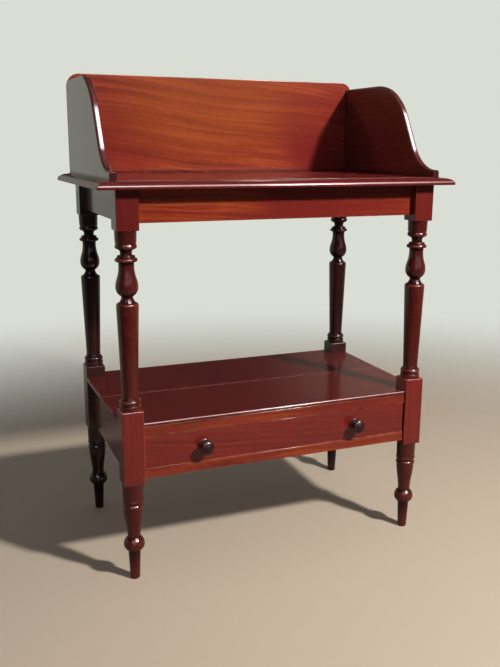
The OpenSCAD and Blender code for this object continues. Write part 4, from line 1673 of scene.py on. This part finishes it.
@dataclass
class Gallery:
    """The back board and the two shaped side boards on the top, in millimetres.

    A side board's front edge sweeps up from its nose in a hollow curve, runs straight at the
    steepest angle and rounds over at the shoulder.
    """

    groove: float = 2.0
    rim: float = 4.0
    side_arris: float = 5.6
    side_arris_steps: int = 7
    nose_arris: float = 0.8
    splash_arris: float = 1.2
    splash_sharp_h: float = 10.0
    corner: float = 25.0
    corner_steps: int = 14
    shoulder: float = 131.0
    shoulder_steps: int = 26
    sweep: float = 86.0
    sweep_steps: int = 20
    steepest: float = 60.0
    nose_h: float = 13.5
    nose_l: float = 4.6
    nose_reach: float = 4.0
    darkest_at_joint: float = 2.0
    splash_darkening_h: float = 9.0
    side_darkening_h: float = 8.0
    nose_darkening: Pair = (5.0, -1.5)
    faded_middle: Triple = (-30.0, 0.0, -50.0)
    faded_half: Triple = (250.0, 1000.0, 150.0)

    def _side(self, low: Vector, high: Vector) -> list[Pair]:
        """The outline of a side board.

        Args:
            low: The board's lowest corner.
            high: Its highest corner.

        Returns:
            Points, each a depth and a height in metres.
        """
        floor = low.z + self.groove * MM
        height, slope = (high.z - floor) / MM, math.radians(self.steepest)
        curved = (self.shoulder + self.sweep) * (1 - math.cos(slope))
        run = (height - self.nose_h - curved) / math.sin(slope)
        nose = low.y / MM + self.nose_l
        level = nose + (self.sweep + self.shoulder) * math.sin(slope) + run * math.cos(slope)
        rising = arc((nose, self.nose_h + self.sweep), self.sweep, -90.0, self.steepest - 90.0,
                     self.sweep_steps)
        falling = arc((level, height - self.shoulder), self.shoulder, 90.0 + self.steepest, 90.0,
                      self.shoulder_steps)
        points = [(low.y / MM, 0.0), (low.y / MM, self.nose_h), *rising, *falling,
                  (high.y / MM, height), (high.y / MM, 0.0)]
        return [(y * MM, floor + z * MM) for y, z in points]

    def _splash(self, low: Vector, high: Vector) -> list[Pair]:
        """The outline of the back board.

        Args:
            low: The board's lowest corner.
            high: Its highest corner.

        Returns:
            Points, each a width and a height in metres.
        """
        floor, corner = low.z + self.groove * MM, self.corner * MM
        return [(low.x, floor), (high.x, floor),
                *arc((high.x - corner, high.z - corner), corner, 0.0, 90.0, self.corner_steps),
                *arc((low.x + corner, high.z - corner), corner, 90.0, 180.0, self.corner_steps)]

    def _foot_darkening(self, low: Vector, start: float) -> Line:
        """The darker line that starts so high over the top and is darkest at the joint."""
        foot = low.z + self.groove * MM
        return Line("z", foot + start * MM, foot + self.darkest_at_joint * MM)

    def build(self) -> None:
        """Makes and dresses the three boards."""
        self._build_splash()
        for number, node in enumerate(("gallery_left", "gallery_right")):
            self._build_side(node, 7.9 + 3.1 * number)

    def _build_splash(self) -> None:
        """Makes and dresses the back board."""
        low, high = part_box("splash_board")
        bm = slab(self._splash(low, high), "y", low.y, high.y, self.rim * MM)
        sharp_z = low.z + self.splash_sharp_h * MM
        round_arris(bm, self.splash_arris * MM, chosen=lambda edge: edge.verts[0].co.z > sharp_z)
        faded = Vector((0.0, low.y, high.z)) + Vector(self.faded_middle) * MM
        cut = Cut(low, high, Grain.LONG_FRONT, 2.6, pith=(-0.30, 0.075), slope=0.10,
                  work=Work.CURVED, darkening=(self._foot_darkening(low, self.splash_darkening_h),),
                  faded=(faded, Vector(self.faded_half) * MM))
        add_board(bm, "splash_board", "polished", BRIGHT, cut, label="splash")

    def _build_side(self, node: str, seed: float) -> None:
        """Makes and dresses a side board.

        Args:
            node: Its CAD node.
            seed: The seed of its grain.
        """
        low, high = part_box(node)
        bm = slab(self._side(low, high), "x", low.x, high.x, self.rim * MM)
        nose_y, back_y = low.y + self.nose_reach * MM, high.y - MM
        nose_z = low.z + (self.groove + self.nose_h) * MM

        def on_curve(edge: bmesh.types.BMEdge) -> bool:
            """Whether an edge lies over the nose or behind it, and before the back."""
            heights, depths = ([getattr(vert.co, axis) for vert in edge.verts] for axis in "zy")
            return (min(heights) > nose_z - SNAP and max(depths) > nose_y - SNAP
                    and min(depths) < back_y)

        def on_nose(edge: bmesh.types.BMEdge) -> bool:
            """Whether an edge lies on the nose."""
            return max(vert.co.y for vert in edge.verts) <= nose_y + SNAP

        round_arris(bm, self.side_arris * MM, steps=self.side_arris_steps, chosen=on_curve)
        round_arris(bm, self.nose_arris * MM, chosen=on_nose)
        nose_darkening = Line("y", *(low.y + away * MM for away in self.nose_darkening))
        cut = Cut(low, high, Grain.SIDE, seed, pith=(0.05, 0.09), slope=0.08, work=Work.CURVED,
                  darkening=(self._foot_darkening(low, self.side_darkening_h), nose_darkening))
        # The side boards wear the finish with painted shade.
        add_board(bm, node, "shaped", SHADED_SIDE_AND_BACK, cut)


@dataclass
class Shelf:
    """The low shelf: two boards with a rounded nose, notched round the legs, in millimetres."""

    arris: float = 0.5
    shortest: float = 30.0
    light_lines: Pair = (4.0, 0.5)

    def build(self) -> None:
        """Makes and dresses both boards."""
        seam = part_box("shelf_back_board")[0].y
        self._build_board("shelf_front_board", 5.3, [seam - away * MM for away in self.light_lines])
        self._build_board("shelf_back_board", 8.2, [seam + away * MM for away in self.light_lines])

    def _build_board(self, node: str, seed: float, light_lines: Sequence[float]) -> None:
        """Makes and dresses one board.

        Args:
            node: Its CAD node.
            seed: The seed of its grain.
            light_lines: Where the seam's lighter line starts and where it is strongest, front to
                back.
        """
        low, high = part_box(node)
        middle, nose = (low.z + high.z) / 2, low.y + high.z - low.z

        def on_top(edge: bmesh.types.BMEdge) -> bool:
            """Whether an edge lies on the upper face and behind the nose."""
            return edge.verts[0].co.z > middle and max(v.co.y for v in edge.verts) > nose

        bm = copied_node(node)
        round_arris(bm, self.arris * MM, shortest=self.shortest * MM, chosen=on_top)
        cut = Cut(low, high, Grain.LONG_FLAT, seed, pith=(-0.03, 0.11), slope=0.04,
                  light_lines=(Line("y", *light_lines),))
        add_board(bm, node, "polished", SHELF, cut)


@dataclass(frozen=True)
class Board:
    """One plain board that keeps its CAD shape, with its arrises rounded."""

    node: str
    finish: Wood
    grain: Grain
    seed: float
    pith: Pair = (0.04, 0.09)
    slope: float = 0.05
    arris: float = 0.4
    shortest: float = 30.0


@dataclass
class BoardWork:
    """A group of plain boards on one body."""

    body: str
    boards: Sequence[Board]

    def build(self) -> None:
        """Makes and dresses each board."""
        for board in self.boards:
            bm = copied_node(board.node)
            round_arris(bm, board.arris * MM, shortest=board.shortest * MM)
            cut = Cut(*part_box(board.node), board.grain, board.seed, board.pith, board.slope)
            add_board(bm, board.node, "finished", board.finish, cut, self.body)


@dataclass
class Screws:
    """The slotted screws of the gallery and of the drawer bottom, in millimetres."""

    setter: ScrewSetter
    head_r: float = 3.8
    shank_r: float = 1.9
    slot_w: float = 1.0
    slot_d: float = 0.8
    face: float = 0.1

    def build(self) -> None:
        """Makes and dresses both sets."""
        finish = OldSteel()
        material = finish.material()
        for node, body, seed in (("gallery_screws", STAND, 5), ("drawer_screws", DRAWER, 8)):
            heads = self._heads(node)
            base = bpy.data.meshes.new("screw places")
            base.from_pydata([head for head, _, _ in heads], [], [])
            drive = base.attributes.new("drive", "FLOAT_VECTOR", "POINT")
            drive.data.foreach_set("vector", [c for _, way, _ in heads for c in way])
            mesh = self.setter.run(
                base, Head_radius=self.head_r * MM, Shank_radius=self.shank_r * MM,
                Length=heads[0][2], Slot_width=self.slot_w * MM, Slot_depth=self.slot_d * MM,
                Seed=seed, Finish=material)
            piece_from(mesh, f"{node}_slotted", material, body, [node])

    def _heads(self, node: str) -> list[tuple[Vector, Vector, float]]:
        """Finds each screw of a CAD node.

        Args:
            node: The CAD node of the screws.

        Returns:
            The middle of each head's face, the way the screw is driven, and its length.
        """
        bm = copied_node(node)
        left, found = set(bm.verts), []
        while left:
            stack, island = [next(iter(left))], set()
            while stack:
                vert = stack.pop()
                if vert not in island:
                    island.add(vert)
                    stack += [edge.other_vert(vert) for edge in vert.link_edges]
            left -= island
            found.append(self._placed(np.array([vert.co for vert in island])))
        bm.free()
        return sorted(found, key=lambda item: tuple(round(c, 5) for c in item[0]))

    def _placed(self, places: np.ndarray) -> tuple[Vector, Vector, float]:
        """Works out how one screw lies: its head is at the wider end.

        Args:
            places: The points of its surface.

        Returns:
            The middle of its head's face, the way it is driven, and its length.
        """
        low, high = places.min(axis=0), places.max(axis=0)
        axis = int(np.argmax(high - low))
        ends = [places[np.abs(places[:, axis] - end) < self.face * MM]
                for end in (low[axis], high[axis])]
        spread = [np.ptp(np.delete(end, axis, axis=1), axis=0).max() for end in ends]
        head_low = spread[0] > spread[1]
        middle, way = (low + high) / 2, np.zeros(3)
        middle[axis] = low[axis] if head_low else high[axis]
        way[axis] = 1.0 if head_low else -1.0
        return Vector(middle), Vector(way), float(high[axis] - low[axis])


@dataclass
class PlainNodes:
    """CAD nodes whose shape is right as it is: they stay and get a finish."""

    finish: Wood
    nodes: dict[str, Grain]

    def build(self) -> None:
        """Dresses each node."""
        for number, (node, grain) in enumerate(self.nodes.items()):
            low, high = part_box(node)
            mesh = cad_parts[node].data
            mesh.materials.clear()
            mesh.materials.append(
                self.finish.material(node, Cut(low, high, grain, 1.7 * number + 0.6)))
            LOG.info("%s: dressed as it is", node)


# Studio


@dataclass(frozen=True)
class Lamp:
    """A soft square lamp: its side in metres and its power in watts."""

    name: str
    at: Triple
    size: float
    power: float
    colour: Colour


@dataclass(frozen=True)
class Region:
    """One region of the directions round the stand.

    A direction has three parts: to the right, back and up. Each pair is a range of one part over
    which the region fades in.
    """

    side: tuple[Pair, ...] = ()
    back: tuple[Pair, ...] = ()
    rise: tuple[Pair, ...] = ()

    def mask(self, way: Sequence[Signal]) -> Signal:
        """Where the region is.

        Args:
            way: The direction's three parts.

        Returns:
            The mask, 0 to 1.
        """
        fades = [part.ramp(*pair) for part, pairs in zip(way, (self.side, self.back, self.rise))
                 for pair in pairs]
        return math.prod(fades[1:], start=fades[0])


BEHIND = Region(back=((-0.1, 0.3),), rise=((0.55, 0.40),))
BEHIND_LEFT = replace(BEHIND, side=((0.10, 0.02),))
BEHIND_RIGHT = replace(BEHIND, side=((0.36, 0.50),))
FRONT = ((-0.60, -0.40), (0.66, 0.50))
FRONT_LOW = Region(FRONT, ((-0.50, -0.75),), ((0.02, 0.18), (0.48, 0.34)))
FRONT_HIGH = Region(FRONT, ((-0.25, -0.35),), ((0.46, 0.54), (0.86, 0.78)))
STRIP = Region(((0.08, 0.15), (0.62, 0.54)), ((-0.24, -0.32),), ((0.60, 0.69), (0.95, 0.87)))
STRIP_GAP = Region(((0.27, 0.31), (0.41, 0.37)))
LOW_BAND = Region(back=((-0.6, 0.0),), rise=((-0.05, 0.03), (0.40, 0.16)))


@dataclass
class Studio:
    """A pale floor, soft lamps and the camera, with panels that only the polish mirrors.

    A panel's colour is the light that the polish shows from its region. It doesn't light the
    stand. The room is what the polish shows beside the panels.
    """

    camera_at: Triple = (-0.6080, -1.4957, 0.7897)
    yaw: float = -22.1515
    pitch: float = 13.2507
    roll: float = 0.3571
    lens: float = 43.49
    sensor: float = 36.0
    aim: Triple = (0.0, 0.0, 0.50)
    lamps: tuple[Lamp, ...] = (
        Lamp("key", (1.07, -1.90, 2.02), 0.18, 72.0, (1.0, 0.955, 0.90)),
        Lamp("fill", (-1.0, -2.6, 1.1), 1.4, 2.0, (0.94, 0.97, 1.0)),
        Lamp("overhead", (0.2, 0.1, 3.0), 1.6, 2.0, (1.0, 0.99, 0.97)))
    floor_size: float = 24.0
    floor: Colour = srgb(216, 200, 180)
    bounced: Colour = srgb(88, 72, 58)
    mirrored: Colour = srgb(168, 149, 133)
    backdrop: Colour = srgb(218, 221, 212)
    fade: Pair = (0.95, 2.6)
    fade_from: Triple = (0.05, -0.3, 0.0)
    floor_roughness: float = 0.85
    floor_polish: float = 0.2
    mirrored_fade: Pair = (0.8, 1.8)
    mirrored_back: Pair = (-0.6, 0.4)
    mirrored_share: float = 0.78
    room: Colour = (0.05, 0.05, 0.05)
    panel_behind: Colour = (0.018, 0.018, 0.017)
    panel_left: Colour = (0.412, 0.435, 0.372)
    panel_right: Colour = (0.30, 0.235, 0.195)
    panel_low: Colour = (0.62, 0.58, 0.66)
    panel_high: Colour = (3.6, 3.3, 3.5)
    strip: Colour = (29.0, 26.5, 27.5)
    strip_gap: float = 0.55
    ambient: float = 0.06
    band: float = 1.1

    def build(self) -> None:
        """Makes the whole studio."""
        self._floor()
        self._world()
        for lamp in self.lamps:
            self._lamp(lamp)
        self._camera()
        bpy.context.scene.view_settings.view_transform = "Standard"

    def _floor(self) -> None:
        """A plain pale floor that runs out into the backdrop, or in the polish into the panels."""
        half = self.floor_size / 2
        mesh = bpy.data.meshes.new("floor")
        mesh.from_pydata([(x * half, y * half, 0) for x, y in ((-1, -1), (1, -1), (1, 1), (-1, 1))],
                         [], [(0, 1, 2, 3)])
        floor = bpy.data.objects.new("floor", mesh)
        bpy.context.scene.collection.objects.link(floor)
        canvas = Canvas("floor")
        graph = canvas.graph
        ray = graph.add("ShaderNodeLightPath")
        seen, mirrored = ray.out("Is Camera Ray"), ray.out("Is Glossy Ray")
        ground = graph.mix(mirrored, self.bounced, self.mirrored)
        matt = graph.add("ShaderNodeBsdfPrincipled", None, {
            "Base Color": graph.mix(seen, ground, self.floor), "Roughness": self.floor_roughness,
            "Specular IOR Level": self.floor_polish})
        behind = graph.mix(canvas.axes["y"].ramp(*self.mirrored_back), self.room,
                           dimmed(self.panel_left, self.mirrored_share))
        glow = graph.add("ShaderNodeEmission", None, {
            "Color": graph.mix(mirrored, self.backdrop, behind), "Strength": 1.0})
        near = graph.add("ShaderNodeVectorMath", {"operation": "DISTANCE"}, {
            0: canvas.place, 1: self.fade_from}, "Value")
        away = graph.add("ShaderNodeVectorMath", {"operation": "LENGTH"}, {0: canvas.place}, "Value")
        share = near.ramp(*self.fade) * seen + away.ramp(*self.mirrored_fade) * mirrored
        shader = graph.add("ShaderNodeMixShader", None, {0: share, 1: matt, 2: glow})
        graph.add("ShaderNodeOutputMaterial", None, {"Surface": shader})
        mesh.materials.append(canvas.made)

    def _world(self) -> None:
        """Dim even light, a pale backdrop, and what the polish mirrors."""
        world = bpy.data.worlds.new("studio")
        bpy.context.scene.world = world
        world.use_nodes = True
        graph = Graph(world.node_tree)
        parts = graph.add("ShaderNodeSeparateXYZ", None, {
            0: graph.add("ShaderNodeTexCoord", output="Generated")})
        way = [parts.out(axis) for axis in "XYZ"]
        mirrored: Feed = self.room
        for region, light in ((BEHIND, self.panel_behind), (BEHIND_LEFT, self.panel_left),
                              (BEHIND_RIGHT, self.panel_right), (FRONT_LOW, self.panel_low),
                              (FRONT_HIGH, self.panel_high)):
            mirrored = graph.mix(region.mask(way), mirrored, light)
        strip = STRIP.mask(way) * (1 - STRIP_GAP.mask(way) * self.strip_gap)
        mirrored = graph.mix(strip, mirrored, self.strip)
        soft = self.ambient + LOW_BAND.mask(way) * self.band
        ray = graph.add("ShaderNodeLightPath")
        seen = graph.mix(ray.out("Is Glossy Ray"), graph.vector(soft, soft, soft), mirrored)
        seen = graph.mix(ray.out("Is Transmission Ray"), seen, self.backdrop)
        seen = graph.mix(ray.out("Is Camera Ray"), seen, self.backdrop)
        shader = graph.add("ShaderNodeBackground", None, {"Color": seen, "Strength": 1.0})
        graph.add("ShaderNodeOutputWorld", None, {"Surface": shader})

    def _lamp(self, lamp: Lamp) -> None:
        """Hangs a lamp that points at the stand.

        Args:
            lamp: The lamp.
        """
        data = bpy.data.lights.new(lamp.name, "AREA")
        data.size, data.energy, data.color = lamp.size, lamp.power, lamp.colour
        holder = bpy.data.objects.new(lamp.name, data)
        bpy.context.scene.collection.objects.link(holder)
        holder.location = lamp.at
        way = Vector(self.aim) - Vector(lamp.at)
        holder.rotation_euler = way.to_track_quat("-Z", "Y").to_euler()

    def _camera(self) -> None:
        """Sets up the camera at the photograph's place and angle."""
        yaw, pitch, roll = (math.radians(a) for a in (self.yaw, self.pitch, self.roll))
        upright = Vector((0, 0, 1))
        right = Vector((math.cos(yaw), math.sin(yaw), 0))
        level = Vector((-math.sin(yaw), math.cos(yaw), 0))
        forward = math.cos(pitch) * level - math.sin(pitch) * upright
        up = math.cos(pitch) * upright + math.sin(pitch) * level
        side = math.cos(roll) * right + math.sin(roll) * up
        top = -math.sin(roll) * right + math.cos(roll) * up
        turn = Matrix((side, top, -forward)).transposed()
        data = bpy.data.cameras.new("camera")
        data.lens, data.sensor_width = self.lens, self.sensor
        camera = bpy.data.objects.new("camera", data)
        bpy.context.scene.collection.objects.link(camera)
        camera.matrix_world = Matrix.Translation(self.camera_at) @ turn.to_4x4()
        bpy.context.scene.camera = camera


def stand_boards() -> list[Board]:
    """The plain boards of the fixed stand."""
    return [
        Board("apron_front", BRIGHT, Grain.LONG_FRONT, 3.3, pith=(0.10, 0.08), slope=0.02),
        Board("apron_back", BRIGHT, Grain.LONG_FRONT, 5.9),
        # The side and back boards wear the finish with painted shade.
        Board("apron_left", SHADED_SIDE_AND_BACK, Grain.SIDE, 7.1),
        Board("apron_right", SHADED_SIDE_AND_BACK, Grain.SIDE, 9.4),
        Board("rail_over_drawer", BRIGHT, Grain.LONG_FRONT, 12.2, slope=0.01),
        Board("rail_under_drawer", BRIGHT, Grain.LONG_FRONT, 14.6, slope=0.01, arris=0.25),
        Board("case_left", SHADED_SIDE_AND_BACK, Grain.SIDE, 16.3),
        Board("case_right", SHADED_SIDE_AND_BACK, Grain.SIDE, 18.8),
        Board("case_back", SHADED_SIDE_AND_BACK, Grain.LONG_FRONT, 20.7),
    ]


def drawer_boards() -> list[Board]:
    """The boards of the drawer."""
    return [
        Board("drawer_front", RED, Grain.LONG_FRONT, 22.5, pith=(-0.05, 0.07), slope=0.09,
              arris=0.25),
        Board("drawer_left", PALE, Grain.SIDE, 24.1),
        Board("drawer_right", PALE, Grain.SIDE, 26.6),
        Board("drawer_back", PALE, Grain.LONG_FRONT, 28.2),
        Board("drawer_bottom", PALE, Grain.LONG_FLAT, 30.4),
    ]


def main() -> None:
    """Builds the stand, the drawer and the studio."""
    logging.basicConfig(level=logging.INFO, format="%(name)s: %(message)s")
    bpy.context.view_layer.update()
    turning = Turning()
    side_strips = {f"{kind}_{side}": Grain.SIDE
                   for kind in ("runner", "guide", "kicker") for side in ("left", "right")}
    for work in (
        Legs(turning), TopBoard(), Gallery(), Shelf(), BoardWork(STAND, stand_boards()),
        BoardWork(DRAWER, drawer_boards()), Knobs(turning), Screws(ScrewSetter()),
        PlainNodes(PALE, {"glue_blocks": Grain.LONG_FRONT, **side_strips,
                          "drawer_stops": Grain.LONG_FRONT}),
        Studio(),
    ):
        work.build()


if __name__ == "__main__":
    main()
